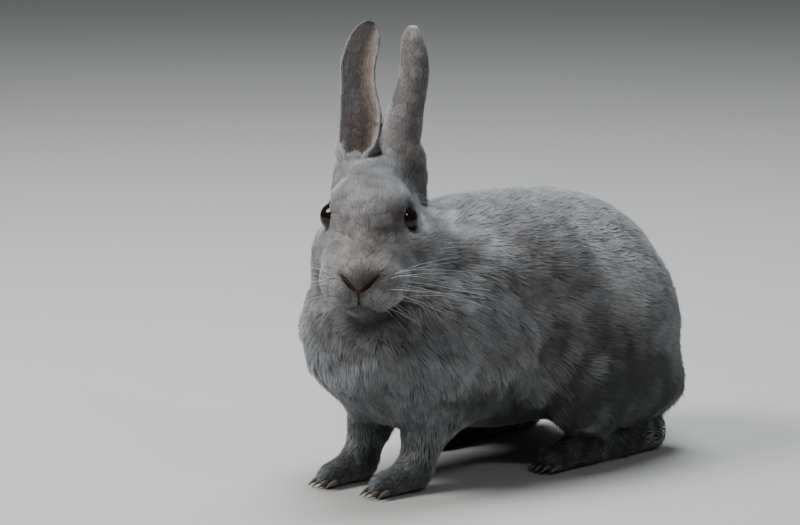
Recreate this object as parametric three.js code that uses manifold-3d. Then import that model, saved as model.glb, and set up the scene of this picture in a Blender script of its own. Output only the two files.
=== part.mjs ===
// A domestic rabbit, alert on straight forelegs with its haunches folded and its head turned to its left.
// Millimetres, +Z up. The rabbit's nose end is -Y, its left side is +X, and it stands on the plane z = 0.
import * as THREE from "three";
import { mergeVertices } from "three/addons/utils/BufferGeometryUtils.js";
import Module from "manifold-3d";

const wasm = await Module();
wasm.setup();

// ---------------------------------------------------------------- driving sizes

const GAP = 0.3; // the thin cut between two parts of the body
const SIDES = { left: 1, right: -1 };

const EYES_AT = [4, -92, 150]; // the middle of the line between the eyes
const HEAD_PITCH = 18; // degrees, nose down
const HEAD_YAW = 36.5; // degrees, towards the rabbit's left
const HEAD_ROLL = 1.6; // degrees, its left side down
const EYE = {
  radius: 8.2,
  spread: 18.2, // eye centre to the middle plane
  forward: -1,
  facets: 2, // how many times an icosahedron's faces are split
  axis: [1, -0.16, 0.12], // the way the left eye looks
};

// The shallow round hollow in the face that each eye lies in: how far its middle is out along the
// eye's axis, and how round its edge is.
const DISH = { radius: 15, out: 17.6, fillet: 3 };

// How fine each part's faceted surface is.
const CELLS = {
  head: 6,
  neck: 13,
  trunk: 14.6,
  tail: 9,
  foreleg: 9.5,
  forepaw: 6.6,
  thigh: 12.5,
  hindfoot: 9,
};

// How round the hollows are where masses meet.
const FILLETS = { face: 9, trunk: 30, shoulder: 14, foreleg: 9, hindleg: 12, body: 14 };

const COAT = { blue: 0x6f7175, brown: 0x6d625c, dark: 0x1a1413, horn: 0x4b443f };

// ---------------------------------------------------------------- small helpers

const at = ([x, y, z]) => new THREE.Vector3(x, y, z);
const radians = THREE.MathUtils.degToRad;
const turnAbout = (axis, degrees) =>
  new THREE.Matrix4().makeRotationAxis(at(axis), radians(degrees));
const shiftBy = (x, y, z) => new THREE.Matrix4().makeTranslation(x, y, z);

// A smooth function of one value through [value, result] stops.
function smoothThrough(stops) {
  const [values, results] = [0, 1].map((column) => stops.map((stop) => stop[column]));
  const spline = new THREE.CubicInterpolant(values, results, 1);
  return (value) => spline.evaluate(value)[0];
}

// A form given on the rabbit's left, taken to the side asked for.
function onSide(form, side) {
  const across = ([x, y, z]) => [x * side, y, z];
  const moved = { ...form };
  for (const key of ["centre", "from", "to"].filter((name) => form[name]))
    moved[key] = across(form[key]);
  if (form.turn) moved.turn = [form.turn[0], form.turn[1] * side, form.turn[2] * side];
  return moved;
}

// A box given by its low and high corners on the rabbit's left, taken to the side asked for.
function boxOnSide([low, high], side) {
  if (side > 0) return [low, high];
  return [[-high[0], low[1], low[2]], [-low[0], high[1], high[2]]];
}

const bothSides = (make, form) => Object.values(SIDES).map((side) => make(onSide(form, side)));

// ---------------------------------------------------------------- fields
// A field is a function of a point: negative inside a mass, positive outside, and about the
// distance from its surface.

// An ellipsoid of flesh, turned by pitch, roll and yaw degrees about X, Y and Z.
function lump({ centre, radii, turn = [0, 0, 0] }) {
  const [rx, ry, rz] = radii;
  const back = new THREE.Matrix4()
    .makeRotationFromEuler(new THREE.Euler(...turn.map(radians)))
    .setPosition(at(centre))
    .invert();
  const q = new THREE.Vector3();
  return (p) => {
    q.copy(p).applyMatrix4(back);
    const near = Math.hypot(q.x / rx, q.y / ry, q.z / rz);
    const steep = Math.hypot(q.x / rx ** 2, q.y / ry ** 2, q.z / rz ** 2);
    return steep < 1e-9 ? -Math.min(rx, ry, rz) : (near * (near - 1)) / steep;
  };
}

// A tapered limb between two points, with a round end of its own radius at each.
function limb({ from, to, radii }) {
  const start = at(from);
  const along = at(to).sub(start);
  const length = along.length();
  along.divideScalar(length);
  const q = new THREE.Vector3();
  return (p) => {
    q.copy(p).sub(start);
    const reach = THREE.MathUtils.clamp(q.dot(along), 0, length);
    const radius = THREE.MathUtils.lerp(radii[0], radii[1], reach / length);
    return q.addScaledVector(along, -reach).length() - radius;
  };
}

// Fields joined with a round fillet of about the given size.
function blend(size, ...fields) {
  const join = (a, b) => {
    const share = Math.max(size - Math.abs(a - b), 0) / size;
    return Math.min(a, b) - (share * share * size) / 4;
  };
  return (p) => fields.map((field) => field(p)).reduce(join);
}

// A field with a round hollow pressed into it.
function pressed(field, { centre, radius, fillet }) {
  const middle = at(centre);
  return (p) => {
    const [mass, hollow] = [-field(p), p.distanceTo(middle) - radius];
    const share = Math.max(fillet - Math.abs(mass - hollow), 0) / fillet;
    return (share * share * fillet) / 4 - Math.min(mass, hollow);
  };
}

// A field given in a frame of its own, seen from the whole rabbit's frame.
function placed(field, frame) {
  const back = frame.clone().invert();
  const q = new THREE.Vector3();
  return (p) => field(q.copy(p).applyMatrix4(back));
}

// ---------------------------------------------------------------- the head, in its own frame
// Its origin is midway between the eyes, -Y runs towards the nose and +Z up through the forehead.

const HEAD_FRAME = shiftBy(...EYES_AT)
  .multiply(turnAbout([0, 0, 1], HEAD_YAW))
  .multiply(turnAbout([1, 0, 0], HEAD_PITCH))
  .multiply(turnAbout([0, 1, 0], HEAD_ROLL));

const HEAD = {
  skull: { centre: [0, 14, -3], radii: [23, 34, 22] },
  forehead: { centre: [0, -2, 3], radii: [18.5, 24, 14] },
  bridge: { from: [0, -6, 0], to: [0, -42, -12], radii: [14, 9.5] },
  muzzle: { from: [0, -8, -12], to: [0, -38, -19], radii: [19, 13.5] },
  nose: { centre: [0, -49, -14], radii: [8.5, 7, 7.5] },
  chin: { centre: [0, -38, -29], radii: [10, 12, 7.5] },
  pad: { centre: [10, -42, -20], radii: [11, 13, 10.5] },
  cheek: { centre: [17, 11, -26], radii: [15.5, 24, 17] },
  brow: { centre: [12.5, 2, 8.5], radii: [8, 13, 6], turn: [0, 20, 0] },
  maxilla: { from: [13, -4, -13], to: [10.5, -34, -18], radii: [13, 11.5] },
  earRoot: { from: [13.5, 35, -3], to: [12.8, 43.5, 14], radii: [12, 9.5] },
  turnedRoot: { from: [17, 41, -2], to: [17, 45, 15], radii: [10.5, 9.5] }, // under the left ear only
  crown: { centre: [0, 39, 3], radii: [13, 14, 12] },
};

const headMasses = blend(
  FILLETS.face,
  lump(HEAD.skull),
  lump(HEAD.forehead),
  lump(HEAD.crown),
  limb(HEAD.bridge),
  limb(HEAD.muzzle),
  lump(HEAD.chin),
  ...bothSides(lump, HEAD.cheek),
  ...bothSides(lump, HEAD.brow),
  ...bothSides(lump, HEAD.pad),
  ...bothSides(limb, HEAD.maxilla),
  ...bothSides(limb, HEAD.earRoot),
  limb(HEAD.turnedRoot),
  lump(HEAD.nose),
);

const dishes = bothSides((form) => form, {
  ...DISH,
  centre: at([EYE.spread, EYE.forward, 0]).addScaledVector(at(EYE.axis).normalize(), DISH.out).toArray(),
});

const headFlesh = placed(dishes.reduce(pressed, headMasses), HEAD_FRAME);

// ---------------------------------------------------------------- the body

const BODY = {
  throat: { from: [2, -70, 114], to: [0, -34, 98], radii: [34, 46] },
  breast: { centre: [0, -66, 82], radii: [59, 48, 47] },
  ribs: { centre: [0, -12, 94], radii: [57, 66, 56] },
  loin: { centre: [0, 40, 98], radii: [60, 62, 54] },
  rump: { centre: [0, 82, 84.5], radii: [59, 53, 56] },
  belly: { centre: [0, 22, 61], radii: [48, 82, 39] },
};

const FORELEG = {
  shoulder: { centre: [38, -42, 88], radii: [20, 30, 36], turn: [-18, 0, 0] },
  elbow: { from: [42, -34, 80], to: [36, -30, 60], radii: [19, 16] },
  forearm: { from: [32, -42, 58], to: [20.5, -66, 28], radii: [15.5, 10] },
  wrist: { from: [20.5, -66, 28], to: [20, -72, 13], radii: [10, 9] },
  paw: { from: [20, -75, 9.5], to: [19, -99.5, 6.5], radii: [10, 7.5] },
};

const HINDLEG = {
  thigh: { centre: [44, 69, 69], radii: [26, 52.5, 48], turn: [-16, 0, 0] },
  knee: { centre: [50, 28, 53], radii: [18, 26, 33], turn: [18, 0, 0] },
  shank: { from: [50, 42, 38], to: [46, 106, 39], radii: [20, 17] },
  foot: { from: [46, 98, 10], to: [46, 12, 7.5], radii: [11, 9] },
};

const TAIL = { from: [0, 120, 45], to: [0, 139, 75], radii: [13, 11] };

const trunkFlesh = blend(
  FILLETS.trunk,
  lump(BODY.loin),
  lump(BODY.rump),
  lump(BODY.ribs),
  lump(BODY.belly),
  lump(BODY.breast),
  limb(BODY.throat),
);

const forelegFlesh = (side) => {
  const form = (key) => onSide(FORELEG[key], side);
  const upper = blend(FILLETS.shoulder, lump(form("shoulder")), limb(form("elbow")));
  const lower = ["forearm", "wrist", "paw"].map((key) => limb(form(key)));
  return blend(FILLETS.foreleg, upper, ...lower);
};

const hindlegFlesh = (side) => {
  const form = (key) => onSide(HINDLEG[key], side);
  const masses = [lump(form("thigh")), lump(form("knee")), limb(form("shank")), limb(form("foot"))];
  return blend(FILLETS.hindleg, ...masses);
};

const legs = Object.values(SIDES).flatMap((side) => [forelegFlesh(side), hindlegFlesh(side)]);
const flesh = blend(FILLETS.body, trunkFlesh, ...legs, limb(TAIL), headFlesh);

// ---------------------------------------------------------------- meshes

// The eight corners of a grid cell, and the twelve pairs of them that share an edge.
const CORNERS = [0, 1, 2, 3, 4, 5, 6, 7].map((i) => [i & 1, (i >> 1) & 1, (i >> 2) & 1]);
const EDGES = CORNERS.flatMap((corner, i) =>
  [0, 1, 2].filter((axis) => !corner[axis]).map((axis) => [i, i | (1 << axis)]),
);

// How far back the four cells round an edge lie, along the two other axes.
const ROUND_AN_EDGE = [[0, 0], [1, 0], [1, 1], [0, 1]];

// Moves a point that is near the surface where the field is zero onto it, along the field's slope.
function settle(field, point, near) {
  const slope = new THREE.Vector3();
  const probe = new THREE.Vector3();
  const reach = 0.05;
  for (let round = 0; round < 2; round++) {
    const value = field(point);
    if (Math.abs(value) > near) return;
    for (let axis = 0; axis < 3; axis++) {
      probe.copy(point).setComponent(axis, point.getComponent(axis) + reach);
      slope.setComponent(axis, (field(probe) - value) / reach);
    }
    point.addScaledVector(slope, -value / Math.max(slope.lengthSq(), 0.2));
  }
}

// Every node of a grid of the given counts, less the last few of each row.
function* gridNodes(count, spare) {
  const [wide, deep, high] = count.map((nodes) => nodes - spare);
  for (let i = 0; i < wide * deep * high; i++)
    yield [i % wide, Math.floor(i / wide) % deep, Math.floor(i / (wide * deep))];
}

// A closed mesh of the surface where the field is zero, with one point in each grid cell that the
// surface crosses. Flesh that leaves the box is closed off just inside it, so a box reaches past
// the cut that trims it.
function netOf(field, [low, high], cell) {
  const count = high.map((end, axis) => Math.ceil((end - low[axis]) / cell) + 1);
  const indexOf = ([x, y, z]) => x + count[0] * (y + count[1] * z);
  const placeOf = (node) => at(node.map((i, axis) => low[axis] + i * cell));
  const value = new Float64Array(count[0] * count[1] * count[2]);
  for (const node of gridNodes(count, 0)) {
    const onEdge = node.some((i, axis) => i === 0 || i === count[axis] - 1);
    value[indexOf(node)] = onEdge ? cell : field(placeOf(node)) || 1e-9;
  }

  const points = [];
  const pointOf = new Map();
  for (const node of gridNodes(count, 1)) {
    const values = CORNERS.map((corner) => value[indexOf(node.map((i, axis) => i + corner[axis]))]);
    const crossings = EDGES.filter(([a, b]) => values[a] < 0 !== values[b] < 0);
    if (!crossings.length) continue;
    const point = new THREE.Vector3();
    for (const [a, b] of crossings) {
      const share = values[a] / (values[a] - values[b]);
      point.add(at(CORNERS[a]).lerp(at(CORNERS[b]), share));
    }
    point.multiplyScalar(cell / crossings.length).add(placeOf(node));
    settle(field, point, cell / 2);
    pointOf.set(indexOf(node), points.length);
    points.push(point);
  }

  const faces = [];
  for (const node of gridNodes(count, 1)) {
    const inside = value[indexOf(node)] < 0;
    for (let axis = 0; axis < 3; axis++) {
      const next = node.map((i, a) => (a === axis ? i + 1 : i));
      if (value[indexOf(next)] < 0 === inside) continue;
      const [u, v] = [(axis + 1) % 3, (axis + 2) % 3];
      const around = ROUND_AN_EDGE.map(([du, dv]) => {
        const beside = [...node];
        beside[u] -= du;
        beside[v] -= dv;
        return pointOf.get(indexOf(beside));
      });
      if (!inside) around.reverse();
      const [a, b, c, d] = around;
      const shortWay = points[a].distanceTo(points[c]) < points[b].distanceTo(points[d]);
      faces.push(...(shortWay ? [a, b, c, a, c, d] : [b, c, d, b, d, a]));
    }
  }
  return new THREE.BufferGeometry().setFromPoints(points).setIndex(faces);
}

// A closed mesh through rings of the same even number of points, anticlockwise seen from the last ring.
// Each end is closed by joining opposite points.
function loft(rings) {
  const count = rings[0].length;
  const last = (rings.length - 1) * count;
  const faces = [];
  for (let start = 0; start < last; start += count)
    for (let i = 0; i < count; i++) {
      const [a, b] = [start + i, start + ((i + 1) % count)];
      faces.push(a, b, b + count, a, b + count, a + count);
    }
  for (let i = 0; i < count / 2 - 1; i++) {
    const j = count - 1 - i;
    faces.push(i, j, j - 1, i, j - 1, i + 1);
    faces.push(last + i, last + j - 1, last + j, last + i, last + i + 1, last + j - 1);
  }
  return new THREE.BufferGeometry().setFromPoints(rings.flat()).setIndex(faces);
}

// ---------------------------------------------------------------- solids

function solidOf(geometry, matrix = new THREE.Matrix4()) {
  const bare = new THREE.BufferGeometry();
  bare.setAttribute("position", geometry.getAttribute("position").clone());
  bare.setIndex(geometry.index);
  const merged = mergeVertices(bare.applyMatrix4(matrix), 1e-4);
  const vertProperties = merged.getAttribute("position").array;
  const triVerts = new Uint32Array(merged.index.array);
  return new wasm.Manifold(new wasm.Mesh({ numProp: 3, vertProperties, triVerts }));
}

function geometryOf(solid) {
  const { vertProperties, triVerts } = solid.getMesh();
  const geometry = new THREE.BufferGeometry();
  geometry.setAttribute("position", new THREE.BufferAttribute(vertProperties, 3));
  geometry.setIndex(new THREE.BufferAttribute(triVerts, 1));
  geometry.computeVertexNormals();
  return geometry;
}

// A cutter is a function that gives a region's solid, grown by a gap on every side.

// A box between two corners, in a frame.
const boxCutter = (low, high, frame = new THREE.Matrix4()) => (grow) => {
  const size = high.map((end, axis) => end - low[axis] + 2 * grow);
  const middle = high.map((end, axis) => (end + low[axis]) / 2);
  return solidOf(new THREE.BoxGeometry(...size), frame.clone().multiply(shiftBy(...middle)));
};

// Everything past a plane through a point, on the side of the frame's +Z once it is tipped about X.
const PAST = 300; // farther than any part reaches
const planeCutter = (point, tip, frame = new THREE.Matrix4()) => {
  const tipped = frame.clone().multiply(shiftBy(...point)).multiply(turnAbout([1, 0, 0], tip));
  return boxCutter([-PAST, -PAST, 0], [PAST, PAST, PAST], tipped);
};

// An oval seen from the side, cut inwards from beyond the flank to a plane at the given distance
// from the middle.
const FLANK = 100;
const DRUM_SIDES = 28;
const flankCutter = ({ centre, radii, turn, inner }, side) => (grow) => {
  const frame = shiftBy(((FLANK + inner) / 2) * side, ...centre).multiply(turnAbout([1, 0, 0], turn));
  const size = new THREE.Matrix4().makeScale(FLANK - inner + 2 * grow, radii[0] + grow, radii[1] + grow);
  const drum = new THREE.CylinderGeometry(1, 1, 1, DRUM_SIDES).rotateZ(Math.PI / 2);
  return solidOf(drum, frame.multiply(size));
};

// An oval seen from the front, as long as given along Y.
const drumCutter = (centre, radii, length, frame) => (grow) => {
  const size = new THREE.Matrix4().makeScale(radii[0] + grow, length + 2 * grow, radii[1] + grow);
  const drum = new THREE.CylinderGeometry(1, 1, 1, DRUM_SIDES);
  return solidOf(drum, frame.clone().multiply(shiftBy(...centre)).multiply(size));
};

const bothCutters = (first, second) => (grow) => first(grow).intersect(second(grow));

// A cut can leave crumbs beside the part itself.
const largestOf = (solid) => solid.decompose().reduce((a, b) => (a.volume() > b.volume() ? a : b));

// ---------------------------------------------------------------- ears

const EAR = {
  root: [13, 37, 6], // where the ear's axis starts, in the head's frame, on the left side
  sheet: smoothThrough([[0, 50], [0.25, 46.5], [0.6, 34.6], [0.8, 32], [1, 20]]), // width laid flat
  tip: 0.8, // where its round tip starts
  blunt: 0.17, // how blunt that tip is, as a share of the width there
  curl: smoothThrough([[0, 150], [0.25, 128], [0.6, 104], [0.8, 94], [1, 72]]), // half the arc, degrees
  thick: [4.2, 2.6], // at the root and the tip
  rim: 0.45, // the rim's thickness, as a share of the middle's
  hollow: [0.1, 0.24], // where the opening starts and where it is fully open
  arcPoints: 8,
  rings: 13,
  crowding: 1.15, // how strongly the rings crowd towards the tip
  cut: 20, // height of the cut between head and ear, over the eye line, in the head's frame
};

// How each ear stands: degrees back and outwards, which way its opening faces in degrees from the
// nose towards the rabbit's left, and how far its middle line strays sideways, in the ear's own
// frame, on the way up.
const LEFT_STRAY = smoothThrough([[0, 0], [0.35, 3.1], [0.7, 0.5], [1, 7]]);
const RIGHT_STRAY = smoothThrough([[0, 0], [0.35, 2.7], [0.7, -0.9], [1, 3.4]]);
const EAR_POSES = {
  left: { length: 84, back: 30, out: 7, facing: 138, stray: LEFT_STRAY },
  right: { length: 86, back: 30, out: -1.5, facing: 3, stray: RIGHT_STRAY },
};

function earRing(share, pose) {
  const curl = radians(EAR.curl(share));
  const pastTip = Math.max(share - EAR.tip, 0) / (1 - EAR.tip);
  const round = Math.sqrt(1 + EAR.blunt ** 2 - pastTip ** 2);
  const radius = (EAR.sheet(share) * round) / (2 * curl);
  const open = THREE.MathUtils.smoothstep(share, ...EAR.hollow);
  const place = new THREE.Vector3(pose.stray(share), 0, share * pose.length);
  const outer = [];
  const inner = [];
  for (let i = 0; i < EAR.arcPoints; i++) {
    const across = (2 * i) / (EAR.arcPoints - 1) - 1;
    const turn = curl * across;
    const thinning = THREE.MathUtils.lerp(1, EAR.rim, across ** 2);
    const wall = THREE.MathUtils.lerp(...EAR.thick, share) * thinning;
    const rolled = new THREE.Vector3(Math.sin(turn), Math.cos(turn), 0).multiplyScalar(radius - wall);
    const filled = new THREE.Vector3(across * radius * Math.sin(curl), radius * Math.cos(curl), 0);
    outer.push(new THREE.Vector3(Math.sin(turn), Math.cos(turn), 0).multiplyScalar(radius).add(place));
    inner.push(filled.lerp(rolled, open).add(place));
  }
  return [...inner, ...outer.reverse()];
}

function earSolid(name) {
  const pose = EAR_POSES[name];
  const side = SIDES[name];
  const frame = HEAD_FRAME.clone()
    .multiply(shiftBy(EAR.root[0] * side, EAR.root[1], EAR.root[2]))
    .multiply(turnAbout([1, 0, 0], -pose.back))
    .multiply(turnAbout([0, 1, 0], pose.out * side))
    .multiply(turnAbout([0, 0, 1], pose.facing));
  const rings = [];
  for (let ring = 0; ring < EAR.rings; ring++) {
    const share = Math.sin((ring / (EAR.rings - 1)) * (Math.PI / 2)) ** EAR.crowding;
    rings.push(earRing(share, pose));
  }
  return solidOf(loft(rings), frame);
}

// ---------------------------------------------------------------- claws

const CLAW = { length: 8, radius: 1.5, droop: 2.4, tip: 0.2, sides: 6, rings: 3 };

// Where the claws of a foot start: four across its front, set back towards the outside.
const CLAW_ROWS = {
  fore: { foot: "forepaw", x: 19, y: -103.5, z: 4.2, pitch: 4.4, setback: 1.6 },
  hind: { foot: "hindfoot", x: 46, y: 6.5, z: 4.4, pitch: 4.8, setback: 2 },
};

function clawRoots(row, side) {
  return [0, 1, 2, 3].map((toe) => {
    const across = toe - 1.5;
    return [(row.x + across * row.pitch) * side, row.y + row.setback * Math.abs(across), row.z];
  });
}

// A claw that runs from its root towards -Y and droops to its tip, grown by a gap.
function clawSolid([x, y, z], grow) {
  const rings = [];
  for (let ring = 0; ring < CLAW.rings; ring++) {
    const share = ring / (CLAW.rings - 1);
    const radius = CLAW.radius * THREE.MathUtils.lerp(1, CLAW.tip, share) + grow;
    const middle = new THREE.Vector3(x, y - CLAW.length * share, z - CLAW.droop * share ** 2);
    const points = [];
    for (let i = 0; i < CLAW.sides; i++) {
      const turn = (i / CLAW.sides) * 2 * Math.PI;
      points.push(new THREE.Vector3(radius * Math.cos(turn), 0, radius * Math.sin(turn)).add(middle));
    }
    rings.push(points);
  }
  return solidOf(loft(rings));
}

// ---------------------------------------------------------------- the parts of the body

const OVER_FLOOR = boxCutter([-PAST, -PAST, 0], [PAST, PAST, PAST]);

const roundFace = drumCutter([0, -20, 4], [41, 45], 180, HEAD_FRAME);
const beforeNape = planeCutter([0, 34, -11], 56, HEAD_FRAME);
const behindRump = planeCutter([0, 129, 54], -66);
const roundTail = boxCutter([-17, 90, 25], [17, 170, 92]);

const CUTTERS = {
  head: bothCutters(roundFace, beforeNape),
  neck: planeCutter([0, -62, 120], 42),
  tail: bothCutters(behindRump, roundTail),
};

const FLANKS = {
  foreleg: { centre: [-51, 55], radii: [29, 50], turn: -30, inner: 5 },
  thigh: { centre: [60, 59], radii: [66, 62], turn: -6, inner: 24 },
};

for (const [name, side] of Object.entries(SIDES)) {
  CUTTERS[`forepaw_${name}`] = boxCutter(...boxOnSide([[0, -130, -9], [44, -56, 16]], side));
  CUTTERS[`foreleg_${name}`] = flankCutter(FLANKS.foreleg, side);
  CUTTERS[`hindfoot_${name}`] = boxCutter(...boxOnSide([[20, -16, -9], [80, 130, 18]], side));
  CUTTERS[`thigh_${name}`] = flankCutter(FLANKS.thigh, side);
}

// The box round each part, past its cuts, that its own surface is made in.
const BOXES = {
  head: [[-60.5, -155, 88.5], [74, -22, 200]],
  neck: [[-76, -126, 66], [70, 6, 180]],
  trunk: [[-84, -128, 6], [84, 168, 180]],
  tail: [[-34, 106, 27], [34, 166, 110]],
  foreleg: [[-1, -112, 3], [72, -8, 118]],
  forepaw: [[3, -124, -8], [37, -50, 28]],
  thigh: [[12, -25, 5], [90, 152, 136]],
  hindfoot: [[22, -12, -8], [76, 138, 31]],
};

const solids = {};
const taken = [];

// Cuts one part out of the flesh, less all that the parts before it have taken.
function cutPart(name, kind, side = 1) {
  const box = boxOnSide(BOXES[kind], side);
  const cutter = CUTTERS[name];
  let solid = solidOf(netOf(flesh, box, CELLS[kind])).intersect(OVER_FLOOR(0));
  if (cutter) solid = solid.intersect(cutter(0));
  for (const earlier of taken) solid = solid.subtract(earlier(GAP));
  if (cutter) taken.push(cutter);
  solids[name] = solid;
}

cutPart("head", "head");
cutPart("neck", "neck");
cutPart("tail", "tail");
for (const kind of ["forepaw", "foreleg", "hindfoot", "thigh"])
  for (const [name, side] of Object.entries(SIDES)) cutPart(`${kind}_${name}`, kind, side);
cutPart("trunk", "trunk");

for (const [name, side] of Object.entries(SIDES)) {
  // Each ear stands on the head's ear root, parted from it at a level cut.
  const overCut = boxCutter([-PAST, -PAST, EAR.cut], [PAST, PAST, PAST], HEAD_FRAME);
  const ear = earSolid(name);
  solids[`ear_${name}`] = ear.intersect(overCut(-GAP / 2));
  solids.head = solids.head.subtract(overCut(GAP / 2));

  // Each eye sits in a socket a little wider than itself.
  const middle = at([EYE.spread * side, EYE.forward, 0]).applyMatrix4(HEAD_FRAME);
  const ball = (radius) =>
    solidOf(new THREE.IcosahedronGeometry(radius, EYE.facets), shiftBy(...middle));
  solids[`eye_${name}`] = ball(EYE.radius);
  solids.head = solids.head.subtract(ball(EYE.radius + GAP));

  // Each claw sits in a hole in its foot.
  for (const [kind, row] of Object.entries(CLAW_ROWS))
    clawRoots(row, side).forEach((root, toe) => {
      const foot = `${row.foot}_${name}`;
      solids[`claw_${kind}_${name}_${toe + 1}`] = clawSolid(root, 0);
      solids[foot] = solids[foot].subtract(clawSolid(root, GAP));
    });
}

// ---------------------------------------------------------------- the rabbit

const FINISHES = {
  coat: new THREE.MeshStandardMaterial({ color: COAT.blue, roughness: 0.9, metalness: 0 }),
  ear: new THREE.MeshStandardMaterial({ color: COAT.brown, roughness: 0.85, metalness: 0 }),
  eye: new THREE.MeshStandardMaterial({ color: COAT.dark, roughness: 0.08, metalness: 0 }),
  claw: new THREE.MeshStandardMaterial({ color: COAT.horn, roughness: 0.45, metalness: 0 }),
};

const body = new THREE.Group();
for (const [name, solid] of Object.entries(solids)) {
  const finish = FINISHES[name.split("_")[0]] ?? FINISHES.coat;
  const mesh = new THREE.Mesh(geometryOf(largestOf(solid)), finish);
  mesh.name = name;
  body.add(mesh);
}

// The origin goes to the middle of the floor under the whole rabbit.
const middle = new THREE.Box3().setFromObject(body).getCenter(new THREE.Vector3());
body.position.set(-middle.x, -middle.y, 0);
const rabbit = new THREE.Group();
rabbit.add(body);

export default rabbit;
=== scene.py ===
"""A life-size still model of a blue-grey rabbit: skin, coat, ears, eyes, claws and whiskers.

Forms are given in millimetres in the maker's frame: -Y to the front, +X to the rabbit's left.
"""
import sys

import logging
import math
from dataclasses import dataclass, field, replace
from enum import Enum
from functools import cached_property, reduce
from typing import Any, Callable, Iterable, Sequence

import bmesh
import bpy
import numpy as np
from mathutils import Matrix, Vector
from mathutils.kdtree import KDTree

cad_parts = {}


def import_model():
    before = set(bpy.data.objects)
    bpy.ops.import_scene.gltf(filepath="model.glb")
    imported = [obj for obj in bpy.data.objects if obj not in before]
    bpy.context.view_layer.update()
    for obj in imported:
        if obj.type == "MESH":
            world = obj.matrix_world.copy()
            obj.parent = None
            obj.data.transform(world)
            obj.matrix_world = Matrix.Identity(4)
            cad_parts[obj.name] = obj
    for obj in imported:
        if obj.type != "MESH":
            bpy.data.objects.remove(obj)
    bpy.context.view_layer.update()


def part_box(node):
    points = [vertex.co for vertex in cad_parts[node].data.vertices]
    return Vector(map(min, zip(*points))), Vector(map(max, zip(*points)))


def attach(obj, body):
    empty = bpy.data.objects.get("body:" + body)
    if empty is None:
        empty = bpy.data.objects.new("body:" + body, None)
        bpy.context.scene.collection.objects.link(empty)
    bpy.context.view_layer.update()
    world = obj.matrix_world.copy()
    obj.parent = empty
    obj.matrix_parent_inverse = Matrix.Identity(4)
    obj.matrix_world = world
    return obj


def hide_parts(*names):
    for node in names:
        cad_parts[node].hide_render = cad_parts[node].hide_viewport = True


log = logging.getLogger("rabbit")

Vec = tuple[float, float, float]
Stops = tuple[tuple[float, float], ...]
Array = np.ndarray

MM = 0.001
SEED = 20117


class Side(Enum):
    """The rabbit's own left and right, as the sign of X."""

    LEFT = 1
    RIGHT = -1

    @property
    def word(self) -> str:
        """The side's name in the frame's nodes."""
        return self.name.lower()


# ---------------------------------------------------------------- small maths


def turn_matrix(degrees: Vec) -> Array:
    """Rotation by degrees about X, then Y, then Z of the turned frame.

    Args:
        degrees: the three angles.

    Returns:
        A 3 by 3 matrix for column vectors.
    """
    x, y, z = (Matrix.Rotation(math.radians(a), 3, axis) for a, axis in zip(degrees, "XYZ"))
    return np.array(x @ y @ z)


def unit(vectors: Array) -> Array:
    """The vectors at length one."""
    return vectors / np.maximum(np.linalg.norm(vectors, axis=-1, keepdims=True), 1e-9)


def smoothstep(values: Array, low: float, high: float) -> Array:
    """Zero below low, one above high, and smooth in between."""
    share = np.clip((values - low) / (high - low), 0, 1)
    return share * share * (3 - 2 * share)


def along_stops(values: Array, stops: Stops) -> Array:
    """The stops' second numbers, met smoothly at their first numbers."""
    knots, results = (np.array(column, float) for column in zip(*stops))
    index = np.clip(np.searchsorted(knots, values, side="right") - 1, 0, len(knots) - 2)
    share = np.clip((values - knots[index]) / (knots[index + 1] - knots[index]), 0, 1)
    slopes = np.gradient(results, knots)
    step = knots[index + 1] - knots[index]
    a, b = results[index], results[index + 1]
    ga, gb = slopes[index] * step, slopes[index + 1] * step
    square, cube = share**2, share**3
    return (
        a * (2 * cube - 3 * square + 1)
        + ga * (cube - 2 * square + share)
        + b * (3 * square - 2 * cube)
        + gb * (cube - square)
    )


@dataclass(frozen=True)
class Wander:
    """A smooth random field of numbers between about -1 and 1."""

    wavelength: float
    seed: int
    waves: int = 9

    def at(self, points: Array) -> Array:
        """The field at each point."""
        rng = np.random.default_rng(SEED + self.seed)
        ways = unit(rng.normal(size=(self.waves, 3))) * rng.uniform(0.7, 1.5, (self.waves, 1))
        phases = rng.uniform(0, 2 * math.pi, self.waves)
        angles = points @ (ways.T * (2 * math.pi / self.wavelength)) + phases
        return np.sin(angles).sum(axis=1) * math.sqrt(2 / self.waves) * 0.6


# ---------------------------------------------------------------- masses of flesh


@dataclass(frozen=True)
class Lump:
    """An ellipsoid of flesh, turned by degrees about X, Y and Z."""

    centre: Vec
    radii: Vec
    turn: Vec = (0.0, 0.0, 0.0)

    def distance(self, points: Array) -> Array:
        """About how far each point is outside the surface, negative inside."""
        radii = np.array(self.radii, points.dtype)
        local = (points - np.array(self.centre, points.dtype)) @ turn_matrix(self.turn)
        near = np.sqrt(((local / radii) ** 2).sum(axis=1))
        steep = np.sqrt(((local / radii**2) ** 2).sum(axis=1))
        return near * (near - 1) / np.maximum(steep, 1e-6)

    def on(self, side: Side) -> "Lump":
        """The form taken from the rabbit's left to the side asked for."""
        (x, y, z), (a, b, c) = self.centre, self.turn
        s = side.value
        return replace(self, centre=(x * s, y, z), turn=(a, b * s, c * s))


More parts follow.
